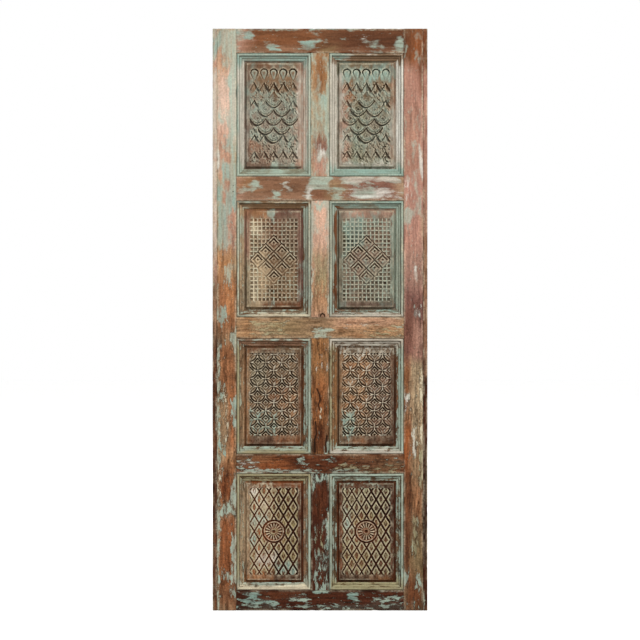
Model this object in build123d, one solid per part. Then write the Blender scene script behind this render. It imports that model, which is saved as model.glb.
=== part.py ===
from build123d import *
import math
import os

# Lengths are in millimetres. X runs to the right, Z runs up from the bottom edge
# and the carved face looks along -Y.

# The whole slab.
door_height = 2134.0
door_width = 788.0
door_thickness = 44.0

# Framing members, as seen from the front.
edge_strip_width = 16.0
stile_width = 71.5
muntin_width = 67.0
top_rail_height = 89.5
upper_rail_height = 89.0
lock_rail_height = 78.0
lower_rail_height = 71.5
bottom_rail_height = 74.5

# Height of each row of openings, from the top, as a share of the height the rails leave.
row_height_shares = (0.2613, 0.2466, 0.2449, 0.2472)

# Panel grooves, and the mortise and tenon joints.
groove_depth = 10.0
tongue_thickness = 12.0
tongue_gap = 1.5
panel_back_setback = 14.0
tenon_thickness = 14.0
tenon_length = 50.0
tenon_end_gap = 2.0
tenon_land = 4.0
peg_size = 6.0
peg_setback = 12.5
peg_spacing = 22.0
peg_reach = 4.0

# Cutters pass the faces they cut by this much, and carving points keep this many decimals.
overrun = 1.0
point_decimals = 6

# Moulding section, from the frame edge inwards and from the panel tongue forwards.
moulding_width = 28.0
moulding_section_shares = (
    (0, 0), (0, 0.9), (0.06, 1), (0.22, 1), (0.28, 0.9),
    (0.28, 0.76), (0.5, 0.6), (0.76, 0.28), (1, 0.2), (1, 0),
)

# Raised panels.
quirk_width = 6.0
field_setback = 6.0
field_bevel = 4.0
carving_border = 9.5
carving_depth = 5.5

# Carved area of each row, from the top: its height as a share of the field it stands in,
# and how far its middle stands above the middle of the field.
carving_height_shares = (0.935, 0.872, 0.879, 0.906)
carving_rise_shares = (-0.013, -0.009, 0.016, 0.003)

# Fish scales: places are shares of the carved width, and of its height down from the top.
scale_columns = 5
scale_row_counts = (1, 2, 3, 2, 1)
scale_first_edge_share = 0.406
scale_pitch_share = 0.0935
scale_sag_share = 0.75
scale_eye_share = 0.42
scale_segments = 6
drop_segments = 6
drop_radius_share = 0.078
drop_middle_share = 0.048
drop_tip_share = 0.132
point_length_share = 0.082
point_foot_share = 0.72
point_deep_share = 0.12
wide_point_share = 0.088
narrow_point_share = 0.068
full_point_row_shares = (0.152, 0.876)
edge_point_shares = ((0.4, 0.336), (0.4, 0.7), (0.219, 0.714))

# Grid of square pits round a block of diamonds.
diamonds_across = 3
diamond_cells = 4
plain_rows = 4
diamond_inner_share = 0.5

# Interlaced circles.
circle_columns = 3
circle_rows = 5
circle_diamond_share = 0.65
circle_pit_share = 0.42
petal_share = 0.1
petal_cut_shares = (0.33, 0.67)
crescent_deep_share = 0.3

# Diamond lattice and rosette.
lattice_columns = 5
lattice_rows = 5
lattice_ridge_share = 0.72
lattice_dish_depth_share = 0.45
rosette_radius_share = 0.222
rosette_groove = 4.0
rosette_sides = 24
rosette_petals = 16
rosette_eye_share = 0.11
rosette_eye_sides = 8
rosette_cut_shares = (0.5, 0.84)
rosette_cut_spread_share = 0.62

# Depths that the sizes above give.
front_y = -door_thickness / 2
back_y = door_thickness / 2
panel_back_y = back_y - panel_back_setback
tongue_y = panel_back_y - tongue_thickness
field_y = front_y + field_setback
groove_middle_y = (tongue_y + panel_back_y) / 2
tenon_front_y = groove_middle_y - tenon_thickness / 2
tenon_back_y = groove_middle_y + tenon_thickness / 2
peg_end_y = tenon_back_y + peg_reach
moulding_height = tongue_y - front_y

# Widths that the sizes above give.
stile_outer_x = door_width / 2 - edge_strip_width
stile_inner_x = stile_outer_x - stile_width
muntin_half = muntin_width / 2
opening_width = stile_inner_x - muntin_half
opening_x = (stile_inner_x + muntin_half) / 2
tongue_reach = groove_depth - tongue_gap
tenon_shoulder = groove_depth + tenon_land
field_inset = moulding_width + quirk_width
carving_width = opening_width - 2 * (field_inset + field_bevel + carving_border)

# Rails and rows of openings, from the top down: name, lower edge, upper edge.
rail_heights = {
    "top_rail": top_rail_height,
    "upper_cross_rail": upper_rail_height,
    "lock_rail": lock_rail_height,
    "lower_cross_rail": lower_rail_height,
    "bottom_rail": bottom_rail_height,
}
row_names = ("scale", "grid", "circle", "rosette")
free_height = door_height - sum(rail_heights.values())
row_heights = [share * free_height for share in row_height_shares]

rails = []
rows = []
level = door_height
for index, (rail_name, rail_height) in enumerate(rail_heights.items()):
    rails.append((rail_name, level - rail_height, level))
    level -= rail_height
    if index < len(row_names):
        rows.append((row_names[index], level - row_heights[index], level))
        level -= row_heights[index]


def block(x_range, y_range, z_range):
    """A box between the two ends of each range."""
    sizes = [high - low for low, high in (x_range, y_range, z_range)]
    middle = [(low + high) / 2 for low, high in (x_range, y_range, z_range)]
    return Pos(*middle) * Box(*sizes)


def peg_heights(low, high):
    """The heights of the two pegs in a rail between these edges."""
    middle = (low + high) / 2
    return (middle - peg_spacing / 2, middle + peg_spacing / 2)


def peg_blocks(side, low, high, start_y):
    """The two pegs at one end of a rail, from start_y to the blind ends of their holes."""
    peg_x = side * (stile_inner_x + peg_setback)
    x_range = (peg_x - peg_size / 2, peg_x + peg_size / 2)
    return [
        block(x_range, (start_y, peg_end_y), (height - peg_size / 2, height + peg_size / 2))
        for height in peg_heights(low, high)
    ]


def right_stile():
    """The right stile, grooved for the panels and mortised for the rails."""
    thickness = (front_y, back_y)
    body = block((stile_inner_x, stile_outer_x), thickness, (0, door_height))
    groove_x = (stile_inner_x - overrun, stile_inner_x + groove_depth)
    mortise_x = (stile_inner_x - overrun, stile_inner_x + tenon_length + tenon_end_gap)
    cuts = []
    for _, low, high in rows:
        groove_z = (low - groove_depth, high + groove_depth)
        cuts.append(block(groove_x, (tongue_y, panel_back_y), groove_z))
    for _, low, high in rails:
        mortise_z = (low + tenon_shoulder, high - tenon_shoulder)
        cuts.append(block(mortise_x, (tenon_front_y, tenon_back_y), mortise_z))
        cuts += peg_blocks(1, low, high, front_y - overrun)
    return body - cuts


def rail(low, high, panels_above, panels_below):
    """A rail with a tenon at each end and a groove along each edge that meets panels."""
    tenon_x = stile_inner_x + tenon_length
    groove_x = stile_inner_x + overrun
    body = block((-stile_inner_x, stile_inner_x), (front_y, back_y), (low, high))
    tenon_z = (low + tenon_shoulder, high - tenon_shoulder)
    body += block((-tenon_x, tenon_x), (tenon_front_y, tenon_back_y), tenon_z)
    cuts = []
    if panels_below:
        groove_z = (low - overrun, low + groove_depth)
        cuts.append(block((-groove_x, groove_x), (tongue_y, panel_back_y), groove_z))
    if panels_above:
        groove_z = (high - groove_depth, high + overrun)
        cuts.append(block((-groove_x, groove_x), (tongue_y, panel_back_y), groove_z))
    for side in (-1, 1):
        cuts += peg_blocks(side, low, high, front_y - overrun)
    return body - cuts


def muntin(low, high):
    """An upright between two panels, with a stub tenon in the groove of each rail."""
    stub_x = muntin_half - groove_depth
    stub_z = (low - tongue_reach, high + tongue_reach)
    body = block((-muntin_half, muntin_half), (front_y, back_y), (low, high))
    groove_z = (low - overrun, high + overrun)
    cuts = [
        block((stub_x, muntin_half + overrun), (tongue_y, panel_back_y), groove_z),
        block((-muntin_half - overrun, -stub_x), (tongue_y, panel_back_y), groove_z),
    ]
    return body - cuts + block((-stub_x, stub_x), (tongue_y, panel_back_y), stub_z)


def moulding_strip(length, reach):
    """A strip along the lower edge of an opening, mitred at both ends.

    The middle of the opening is at x = 0, z = 0 and the edge is at z = -reach.
    """
    section = [
        (tongue_y - up * moulding_height, across * moulding_width - reach)
        for across, up in moulding_section_shares
    ]
    strip = extrude(Plane.YZ * make_face(Polyline(*section, close=True)), length / 2, both=True)
    for side in (-1, 1):
        mitre = Plane(origin=(side * length / 2, 0, -reach), z_dir=(-side, 0, -1))
        strip = split(strip, bisect_by=mitre, keep=Keep.TOP)
    return strip


def opening_mouldings(height):
    """The four strips round an opening whose middle is at x = 0, z = 0."""
    sides = {
        "bottom": (opening_width, height / 2, 0),
        "left": (height, opening_width / 2, 90),
        "top": (opening_width, height / 2, 180),
        "right": (height, opening_width / 2, 270),
    }
    return {
        name: Rot(0, turn, 0) * moulding_strip(length, reach)
        for name, (length, reach, turn) in sides.items()
    }


# Carvings are lists of flat facets. A facet is a list of points, and a point is its place
# across and up from the middle of the carving and its depth below the panel's face.

def point(across, up, depth=0):
    """A carving point, rounded so that facets that meet share the same numbers."""
    return tuple(round(value, point_decimals) for value in (across, up, depth))


def pairs(loop):
    """Each point of a closed loop with the next one."""
    return list(zip(loop, loop[1:] + loop[:1]))


def middle_of(outline):
    """The mean of the points of an outline."""
    return [sum(values) / len(outline) for values in zip(*outline)][:2]


def chip(outline, depth, deepest=None):
    """A chip cut from its outline on the face down to one deepest point."""
    bottom = point(*(deepest or middle_of(outline)), depth)
    return [[first, second, bottom] for first, second in pairs(outline)]


def scale_edge(middle, bottom, width, sag):
    """The rounded lower edge of a fish scale, from its left end to its right end."""
    turns = [math.pi * (step / scale_segments - 1 / 2) for step in range(scale_segments + 1)]
    return [
        point(middle + width / 2 * math.sin(turn), bottom + sag * (1 - math.cos(turn)))
        for turn in turns
    ]


def scale_carving(width, height):
    """Teardrops, rows of points and a block of overlapping fish scales."""
    def down(share):
        return height / 2 - share * height

    facets = []
    column_pitch = width / scale_columns
    columns = [(index - (scale_columns - 1) / 2) * column_pitch for index in range(scale_columns)]
    radius = drop_radius_share * width
    for column in columns:
        turns = [math.pi * step / drop_segments for step in range(drop_segments + 1)]
        top = down(drop_middle_share)
        outline = [
            point(column + radius * math.cos(turn), top + radius * math.sin(turn)) for turn in turns
        ]
        outline.append(point(column, down(drop_tip_share)))
        facets += chip(outline, carving_depth, (column, top + radius / 2))

    places = [(column, share, wide_point_share) for share in full_point_row_shares
              for column in columns]
    places += [(side * across * width, share, narrow_point_share)
               for across, share in edge_point_shares for side in (-1, 1)]
    length = point_length_share * height
    for across, share, half_share in places:
        top = down(share)
        foot = top - point_foot_share * length
        outline = [
            point(across, top),
            point(across + half_share * width, foot),
            point(across, top - length),
            point(across - half_share * width, foot),
        ]
        facets += chip(outline, carving_depth, (across, top - point_deep_share * length))

    scale_width = width / max(scale_row_counts)
    pitch = scale_pitch_share * height
    sag = scale_sag_share * pitch
    for index, count in enumerate(scale_row_counts):
        bottom = down(scale_first_edge_share) - index * pitch
        for place in range(count):
            across = (place - (count - 1) / 2) * scale_width
            left = scale_edge(across - scale_width / 2, bottom + pitch, scale_width, sag)
            right = scale_edge(across + scale_width / 2, bottom + pitch, scale_width, sag)
            own = scale_edge(across, bottom, scale_width, sag)
            half = len(own) // 2
            outline = own + right[half::-1] + left[:half - 1:-1][1:]
            top = bottom + pitch + sag
            eye = top + scale_eye_share * (bottom - top)
            facets += chip(outline, carving_depth, (across, eye))
    return facets


def grid_carving(width, height):
    """Square pits that share sharp ribs, round a block of diamonds with pits of their own."""
    columns = diamonds_across * diamond_cells
    rows_of_pits = columns + 2 * plain_rows
    block_half = columns // 2

    def grid(across, up):
        return point(across * width / columns, up * height / rows_of_pits)

    facets = []
    for column in range(-block_half, block_half):
        for row in range(-rows_of_pits // 2, rows_of_pits // 2):
            corners = [(column, row), (column + 1, row), (column + 1, row + 1), (column, row + 1)]
            kept = [grid(*corner) for corner in corners if sum(map(abs, corner)) >= block_half]
            if len(kept) > 2:
                facets += chip(kept, carving_depth)

    reach = diamond_cells // 2
    turns = ((1, 0), (0, 1), (-1, 0), (0, -1))
    places = [index - (diamonds_across - 1) / 2 for index in range(diamonds_across)]
    for first in places:
        for second in places:
            middle = ((first + second) * reach, (first - second) * reach)
            inner = []
            for (from_x, from_z), (to_x, to_z) in pairs(list(turns)):
                side = []
                for step in range(reach + 1):
                    side.append(grid(
                        middle[0] + from_x * (reach - step) + to_x * step,
                        middle[1] + from_z * (reach - step) + to_z * step,
                    ))
                near = [
                    grid(middle[0] + to_x * reach * diamond_inner_share,
                         middle[1] + to_z * reach * diamond_inner_share),
                    grid(middle[0] + from_x * reach * diamond_inner_share,
                         middle[1] + from_z * reach * diamond_inner_share),
                ]
                facets += chip(side + near, carving_depth)
                inner.append(near[1])
            facets += chip(inner, carving_depth)
    return facets


def quarters(columns, rows_of_cells, offset, width, height):
    """Each quarter of each diamond of a lattice that lies in the carved area.

    A quarter is a function that turns shares of the half diagonals, and a depth, into a point.
    """
    half_width = width / columns / 2
    half_height = height / rows_of_cells / 2
    found = []
    for column in range(2 * columns + 1):
        for row in range(2 * rows_of_cells + 1):
            if (column + row + offset) % 2:
                continue
            for side_x in (-1, 1):
                for side_z in (-1, 1):
                    inside_x = 0 <= column + side_x <= 2 * columns
                    inside_z = 0 <= row + side_z <= 2 * rows_of_cells
                    if not (inside_x and inside_z):
                        continue

                    def place(across, up, depth=0, column=column, row=row, sides=(side_x, side_z)):
                        return point(
                            (column + sides[0] * across) * half_width - width / 2,
                            (row + sides[1] * up) * half_height - height / 2,
                            depth,
                        )
                    found.append((place, column % 2 == 1))
    return found


def circle_carving(width, height):
    """Petals that read as interlaced circles, with a pitted diamond in every gap."""
    facets = []
    size = circle_diamond_share
    for place, in_cell in quarters(circle_columns, circle_rows, 0, width, height):
        bends = [petal_share * 4 * cut * (1 - cut) for cut in petal_cut_shares]
        near = [place(1 - cut - bend, cut - bend) for cut, bend in zip(petal_cut_shares, bends)]
        far = [place(1 - cut + bend, cut + bend) for cut, bend in zip(petal_cut_shares, bends)]
        tips = [place(1, 0), place(0, 1)]
        side = [place(0, size), place(size, 0)]
        gap = 1 / 2 - petal_share - size / 2
        deep = size / 2 + crescent_deep_share * gap
        facets += chip([tips[0], *near, tips[1], *side], carving_depth, place(deep, deep)[:2])
        rim = [place(circle_pit_share, 0), place(0, circle_pit_share)]
        facets.append(side + rim)
        facets.append([*rim, place(0, 0, carving_depth)])
        if in_cell:
            facets.append([tips[0], *near, tips[1], *reversed(far)])
    return facets


def lattice_carving(width, height):
    """Raised diamonds between sloping grooves, each with a dished top."""
    facets = []
    for place, _ in quarters(lattice_columns, lattice_rows, 1, width, height):
        groove = [place(1, 0, carving_depth), place(0, 1, carving_depth)]
        ridge = [place(0, lattice_ridge_share), place(lattice_ridge_share, 0)]
        facets.append(groove + ridge)
        facets.append([*ridge, place(0, 0, carving_depth * lattice_dish_depth_share)])
    return facets


def rim_loops(facets):
    """The facet edges that belong to one facet only, chained into closed loops."""
    uses = {}
    for facet in facets:
        for edge in pairs(facet):
            uses.setdefault(frozenset(edge), []).append(edge)
    beside = {}
    for edges in uses.values():
        if len(edges) == 1:
            first, second = edges[0]
            beside.setdefault(first, []).append(second)
            beside.setdefault(second, []).append(first)
    loops = []
    while beside:
        start = next(iter(beside))
        loop = [start]
        step = beside[start][0]
        while step != start:
            loop.append(step)
            step = next(near for near in beside[step] if near != loop[-2])
        for visited in loop:
            del beside[visited]
        loops.append(loop)
    return loops


def flat_face(outline, holes=()):
    """A flat face with straight sides, and holes with straight sides."""
    inner = [Wire.make_polygon(hole, close=True) for hole in holes]
    return Face(Wire.make_polygon(outline, close=True), inner)


def rectangle(width, height, y):
    """The corners of an upright rectangle round x = 0, z = 0."""
    corners = ((-1, -1), (1, -1), (1, 1), (-1, 1))
    return [(side_x * width / 2, y, side_z * height / 2) for side_x, side_z in corners]


def band(first_loop, second_loop):
    """The four-sided faces between two loops with as many points."""
    return [
        flat_face([first_start, first_end, second_end, second_start])
        for (first_start, first_end), (second_start, second_end)
        in zip(pairs(first_loop), pairs(second_loop))
    ]


def carved_faces(outline, facets, rise):
    """The faces of a flat front with this outline, with the carving let into it."""
    def placed(loop):
        return [(across, field_y + depth, up + rise) for across, up, depth in loop]

    faces = [flat_face(placed(facet)) for facet in facets]
    holes = []
    for loop in rim_loops(facets):
        holes.append(placed([(across, up, 0) for across, up, _ in loop]))
        for first, second in pairs(loop):
            wall = [first, second, (*second[:2], 0), (*first[:2], 0)]
            wall = list(dict.fromkeys(wall))
            if len(wall) > 2:
                faces.append(flat_face(placed(wall)))
    return [flat_face(outline, holes), *faces]


def raised_panel(height, carving, height_share, rise_share):
    """A panel with a tongue all round and a raised, carved field."""
    base_width = opening_width - 2 * field_inset
    base_height = height - 2 * field_inset
    field_width = base_width - 2 * field_bevel
    field_height = base_height - 2 * field_bevel
    tongue_width = opening_width + 2 * tongue_reach
    tongue_height = height + 2 * tongue_reach

    field = rectangle(field_width, field_height, field_y)
    base = rectangle(base_width, base_height, tongue_y)
    tongue = rectangle(tongue_width, tongue_height, tongue_y)
    back = rectangle(tongue_width, tongue_height, panel_back_y)
    facets = carving(carving_width, height_share * field_height)
    faces = carved_faces(field, facets, rise_share * field_height)
    faces += band(field, base)
    faces.append(flat_face(tongue, [base]))
    faces += band(tongue, back)
    faces.append(flat_face(back))
    return Solid(Shell(faces))


def ring(radius, sides):
    """The corners of a regular outline round the middle of a carving."""
    turns = [2 * math.pi * index / sides for index in range(sides)]
    return [point(radius * math.cos(turn), radius * math.sin(turn)) for turn in turns]


def add_rosette(panel, rise):
    """The panel with a round rosette standing in a sunk ring at the middle of its carving."""
    radius = rosette_radius_share * carving_width
    floor_y = field_y + carving_depth
    sunk = [(across, field_y - overrun, up + rise)
            for across, up, _ in ring(radius + rosette_groove, rosette_sides)]
    pocket = extrude(flat_face(sunk), carving_depth + overrun, dir=(0, 1, 0))

    facets = []
    near_share, far_share = rosette_cut_shares
    spread = math.pi / rosette_petals * rosette_cut_spread_share
    for index in range(rosette_petals):
        turn = 2 * math.pi * index / rosette_petals
        corners = ((near_share, turn), (far_share, turn - spread), (far_share, turn + spread))
        facets += chip(
            [point(share * radius * math.cos(angle), share * radius * math.sin(angle))
             for share, angle in corners],
            carving_depth,
        )
    facets += chip(ring(rosette_eye_share * radius, rosette_eye_sides), carving_depth)

    edge = [(across, field_y, up + rise) for across, up, _ in ring(radius, rosette_sides)]
    foot = [(across, floor_y + overrun, up) for across, _, up in edge]
    rosette = Solid(Shell([*carved_faces(edge, facets, rise), *band(edge, foot), flat_face(foot)]))
    return panel - pocket + rosette


# Every piece of the door, by node name.
parts = {}
stile = right_stile()
parts["right_stile"] = stile
parts["left_stile"] = mirror(stile, about=Plane.YZ)

strip_x = (stile_outer_x, door_width / 2)
edge_strip = block(strip_x, (front_y, back_y), (0, door_height))
parts["right_edge_strip"] = edge_strip
parts["left_edge_strip"] = mirror(edge_strip, about=Plane.YZ)

pegs = []
for index, (rail_name, low, high) in enumerate(rails):
    parts[rail_name] = rail(low, high, index > 0, index < len(rows))
    for side in (-1, 1):
        pegs += peg_blocks(side, low, high, front_y)
parts["tenon_pegs"] = Compound(pegs)

carvings = {
    "scale": scale_carving,
    "grid": grid_carving,
    "circle": circle_carving,
    "rosette": lattice_carving,
}
for (row_name, low, high), height_share, rise_share in zip(
    rows, carving_height_shares, carving_rise_shares
):
    height = high - low
    parts[f"{row_name}_muntin"] = muntin(low, high)
    panel = raised_panel(height, carvings[row_name], height_share, rise_share)
    if row_name == "rosette":
        panel = add_rosette(panel, rise_share * (height - 2 * (field_inset + field_bevel)))
    strips = opening_mouldings(height)
    for side_name, side in (("left", -1), ("right", 1)):
        place = Pos(side * opening_x, 0, (low + high) / 2)
        parts[f"{row_name}_panel_{side_name}"] = place * panel
        for edge_name, strip in strips.items():
            parts[f"{row_name}_{side_name}_moulding_{edge_name}"] = place * strip

os.makedirs("parts", exist_ok=True)
for name, shape in parts.items():
    export_step(shape, f"parts/{name}.step")
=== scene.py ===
import itertools
import math

import bpy
import numpy as np
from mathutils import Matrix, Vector


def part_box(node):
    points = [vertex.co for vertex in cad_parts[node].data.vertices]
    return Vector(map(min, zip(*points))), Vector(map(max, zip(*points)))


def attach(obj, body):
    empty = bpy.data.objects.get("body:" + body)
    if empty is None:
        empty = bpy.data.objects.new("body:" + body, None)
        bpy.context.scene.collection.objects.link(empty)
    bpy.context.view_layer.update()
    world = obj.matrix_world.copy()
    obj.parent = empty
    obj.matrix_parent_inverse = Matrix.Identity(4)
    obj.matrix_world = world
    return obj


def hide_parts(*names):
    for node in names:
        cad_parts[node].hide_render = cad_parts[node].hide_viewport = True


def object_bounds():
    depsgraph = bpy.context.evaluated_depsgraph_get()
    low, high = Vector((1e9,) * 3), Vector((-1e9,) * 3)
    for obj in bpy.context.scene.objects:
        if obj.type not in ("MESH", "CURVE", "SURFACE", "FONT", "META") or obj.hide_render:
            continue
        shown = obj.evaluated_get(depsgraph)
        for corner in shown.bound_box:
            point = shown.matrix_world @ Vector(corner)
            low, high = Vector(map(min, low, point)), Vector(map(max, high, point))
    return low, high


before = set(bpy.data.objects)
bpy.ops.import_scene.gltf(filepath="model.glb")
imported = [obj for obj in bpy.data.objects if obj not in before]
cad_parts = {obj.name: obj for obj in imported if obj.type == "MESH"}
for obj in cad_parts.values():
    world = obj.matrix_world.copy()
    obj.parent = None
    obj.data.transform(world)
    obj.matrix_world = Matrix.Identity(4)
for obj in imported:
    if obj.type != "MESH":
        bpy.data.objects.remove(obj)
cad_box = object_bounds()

# Where the door stands in the photograph, in its pixels.
photo_width = 640
door_middle_px = 320.05
door_foot_px = 610.6
door_top_px = 28.6

# The door's box in metres, and what one pixel shows of it.
door_low, door_high = (Vector(corner) for corner in cad_box)
door_middle = (door_low + door_high) / 2
metres_per_px = (door_high.z - door_low.z) / (door_foot_px - door_top_px)
x_axis, y_axis, z_axis = range(3)

# Names of members, and the rows of panels from the top with the rails below and above each.
sides = ("left", "right")
rails = ("top_rail", "upper_cross_rail", "lock_rail", "lower_cross_rail", "bottom_rail")
rows = {
    "scale": ("upper_cross_rail", "top_rail"),
    "grid": ("lock_rail", "upper_cross_rail"),
    "circle": ("lower_cross_rail", "lock_rail"),
    "rosette": ("bottom_rail", "lower_cross_rail"),
}

# Seeds of the random draws.
stile_seed = 100
strip_seed = 140
rail_seed = 180
muntin_seed = 220
panel_seed = 300
moulding_seed = 400
peg_seed = 500
seeds_per_row = 20
panel_seeds_per_side = 7
moulding_seeds_per_side = 5

# Steps from a piece's seed that keep its draws apart.
wave_draw = 40
shade_draw = 80
corner_draws = 11
chip_draw = 7
dent_draw = 60
split_draw = 70
bead_draw = 3
sway_draw = 5
blunt_draw = 9
fibre_draw = 13
panel_wave_draw = 15
broken_draw = 21
smear_draw = 25

# Noise: size of its table, and the weight of each finer layer against the one before.
noise_table = 97
finer_weight = 0.55

# Members: steps of the mesh, then worn edges, then dents and splits along the grain.
# Lengths and depths are in metres, and shares and ranges of noise go from 0 to 1.
member_step = 0.0055
side_step = 2 * member_step
corner_marks = (0.0013, 0.0032)
end_round = 0.0012
edge_wear = 0.0011
deep_wear = 0.0042
wear_shares = (0.4, 1.2)
wear_limit = 1 / 6
wear_reach = 2.6
rub_length = 0.045
chip_length = 0.022
chip_range = (0.66, 0.86)
rubbed_reach = 0.006
rubbed_range = (1.1 / 3, 0.7)
joint_reach = (0.0009, 0.0039)
joint_range = (0.3, 0.55)
joint_least = 0.25
joint_dirt = (0.2, 0.8)
dent_depth = 0.0007
dent_grain = (0.06, 0.014)
split_depth = 4 * dent_depth
split_grain = (0.05, 0.005)
split_start = 0.62
hollow_start = 0.9
hollow_most = 0.6
peg_spread = 0.011

# Mouldings: lengths in metres, and wear, paint, rubbing, and dirt with painted shade as shares, some of them
# for each row.
moulding_step = 0.006
moulding_wear = 0.00352
moulding_wear_grain = (0.03, 0.01)
moulding_wear_start = 0.45
foot_share = 0.1
bead_share = 0.7
bead_marks = (0.0, 0.06, 0.30, 0.38)
bead_paint = 0.14
bead_rub_grain = (0.05, 0.02)
bead_rub_range = (0.35, 0.85)
bead_rubs = {"scale": 0.4, "grid": 0.8, "circle": 0.2, "rosette": 0.2}
# Dirt and painted shade along the section's lines, for each row; a bottom strip faces up to the light and
# gets less.
line_dirt_and_shade = {"scale": 1.2, "grid": 1.6, "circle": 1.0, "rosette": 1.0}
bottom_strip_dirt_and_shade = 0.35

# Moulding section: share across the strip, share of its height, dirt and painted shade along that line.
moulding_section = (
    (0.00, 0.00, 0.8), (0.00, 0.72, 0.5), (0.05, 0.82, 0.2), (0.12, 0.93, 0.0), (0.21, 0.99, 0.0),
    (0.30, 0.95, 0.0), (0.36, 0.84, 0.2), (0.39, 0.64, 0.7), (0.43, 0.64, 0.3), (0.51, 0.59, 0.0),
    (0.60, 0.51, 0.0), (0.67, 0.44, 0.1), (0.70, 0.34, 0.6), (0.75, 0.37, 0.1), (0.83, 0.35, 0.0),
    (0.92, 0.27, 0.0), (1.00, 0.20, 0.2), (1.00, 0.00, 0.6),
)

# Raised panels, in metres, with the height of each row's carving and its rise over the opening's middle.
quirk = 0.006
bevel = 0.004
border = 0.0095
border_lines = 4
tongue = 0.003
carving_depth = 0.0062
deepest_share = 1.05
carving_step = 0.00135
carving_fade = 1.2 * carving_step
carving_sway = 0.0012
carved_heights = {"scale": 0.352, "grid": 0.306, "circle": 0.306, "rosette": 0.319}
carving_rises = {"scale": -0.0049, "grid": -0.0032, "circle": 0.0056, "rosette": 0.0011}

# Wear of the panels: grain of each noise and depths in metres, shares of dirt, painted shade and
# rubbing, and the colours of the back.
sway_grain = (0.03, 0.03)
blunt_grain = (0.03, 0.03)
blunt_shares = (0.3, 1.3)
fibre_grain = (0.004, 0.02)
fibre_depth = 0.0005
wave_grain = (0.03, 0.05)
wave_depth = 0.0006
# Dirt and painted shade in the cuts, by their depth, and painted shade with dirt in the quirk round the
# field.
cut_dirt_and_shade = ((0.25, 0.8), (0, 1))
quirk_dirt_and_shade = 0.9
quirk_dark_floor = 1.2
quirk_dark_place = bevel + quirk / 6
quirk_dark_width = 0.4 * quirk
smear_grain = (0.02, 0.02)
smear_range = ((0.3, 0.7), (0.4, 1.5))
border_dirt = 0.36
ridge_blur = 3
ridge_height = 0.4 * carving_depth
broken_grain = (0.04, 0.04)
broken_range = (0.7 / 2.4, 1.7 / 2.4)
bevel_rub = 0.6 * bevel
# The dark over the colour of each row's cuts: dirt and painted shade.
groove_dirt_and_shade_by_row = {"scale": 0.85, "grid": 0.85, "circle": 1.0, "rosette": 0.45}
back_wood = "umber"
back_coat = "mint"
back_cover = 0.36

# Carved points: places across the cut, then shares of depth. Sizes are in columns of the carving.
point_limb = ((-0.1, 0.1), (0, 1))
point_slopes = ((0, 1), (1.5, 0.62))
point_cut = ((-0.06, 0.03, 0.20, 0.42, 0.95), (0, -1.1, -1, -0.3, -0.05))
point_depths = ((0, 1), (0.75, 1))
point_top = ((-0.1, 0.02), (0, 1))
point_fade_start = 0.9
point_fade_end = 1.35
point_size = (0.46, 0.74)
point_rows = ((3.25, 2), (6.80, 1), (8.52, 0))
upper_point_top = 1.46
upper_point_size = (0.47, 0.80)
upper_point_fade = 1.7

# Teardrops, in columns, with their cut and the paint on their domes.
drop_columns = 5
drop_centre = 0.47
drop_radius = 0.45
drop_tip = 1.32
drop_taper = 0.6
drop_slant = ((-0.6, 0.6), (1.3, 0.85))
drop_cut = ((0, 0.07, 0.28, 0.42, 0.8), (0, -1.1, -1, -0.2, 0))
drop_paint = ((0.22, 0.36, 0.55, 0.85), (0, 0.26, 0.26, 0.02))
drop_cap = (0.6, 0.8)
drop_sides = 0.2

# Fish scales: rows as columns down to their feet and the count of scales with an eye.
scales_across = 3
scale_sag = 0.70
scale_pitch = 0.91
scale_rows = ((3.06, 0), (3.97, 1), (4.88, 2), (5.80, 3), (6.74, 2), (7.62, 1))
plain_tile = ((0, 0.05, 0.3), (-0.1, 0, -0.05))
eyed_tile = ((0, 0.05, 0.4, 1.2), (-0.1, 0, -0.05, -0.4))
hatches = 18
hatch_cut = ((0.12, 0.34), (-0.7, 0))
hatch_band = ((0.06, 0.1, 0.24, 0.30), (0, 1, 1, 0))
eye_size = (0.17, 0.30)
eye_height = 0.68
eye_cut = ((0.3, 0.6, 0.74, 0.86, 1.08, 1.28), (-0.75, -0.2, -0.2, -0.5, -0.5, 0))
scale_paint = ((0.02, 0.1, 0.4, 0.6), (0, 0.14, 0.14, 0))
scale_slant = ((-0.1, 0.2), (0.65, 1.2))
scale_groove = ((0, 0.015, 0.10, 0.18), (0, -1, -1, 0))
plain_groove = 0.15
nick_drop = 9.15
nick_size = (0.13, 0.2)
nick_depth = 1.2
scales_top = 1.4
stroke_slant = 0.4
stroke_grain = (0.004, 0.009)
stroke_seed = 77
stroke_cut = ((0.55, 0.67), (0, -0.6))

# Light and deep sides of slanted cuts.
slant_turn = (-0.05, 0.05)
upper_depth = 1.1
light_limb = 0.8

# Square pits round a block of ringed diamonds.
pits_across = 12
pits_up = 20
pits_per_diamond = 4
block_reach = 6
pit_cut = ((0.26, 0.38), (-0.6, 0))
pit_paint = ((0.36, 0.42), (0, 0.14))
diamond_rings = (
    (0.06, 0.10, 0.19, 0.23, 0.31, 0.35, 0.43, 0.46, 0.5),
    (-1, -0.15, -0.15, -0.9, -0.9, 0, 0, -1, -1),
)
diamond_lower_depth = 0.45

# Interlaced circles, with lengths as shares of their pitch.
circles_across = 3
circle_radius = 0.63
petal_cut = ((-0.13, -0.09, -0.05), (0, -0.1, -0.7))
circle_groove = ((0.035, 0.07), (-1, 0))
gap_diamond = ((0.07, 0.10, 0.15, 0.175, 0.26, 0.285), (-0.9, -0.1, 0, -1, -1, 0))
circle_lower_depth = 0.5
circle_limb = 1.1
petal_edge = -0.03
petal_paint = -0.08
gap_paint = ((0.28, 0.32), (0.04, 0.16))

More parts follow.
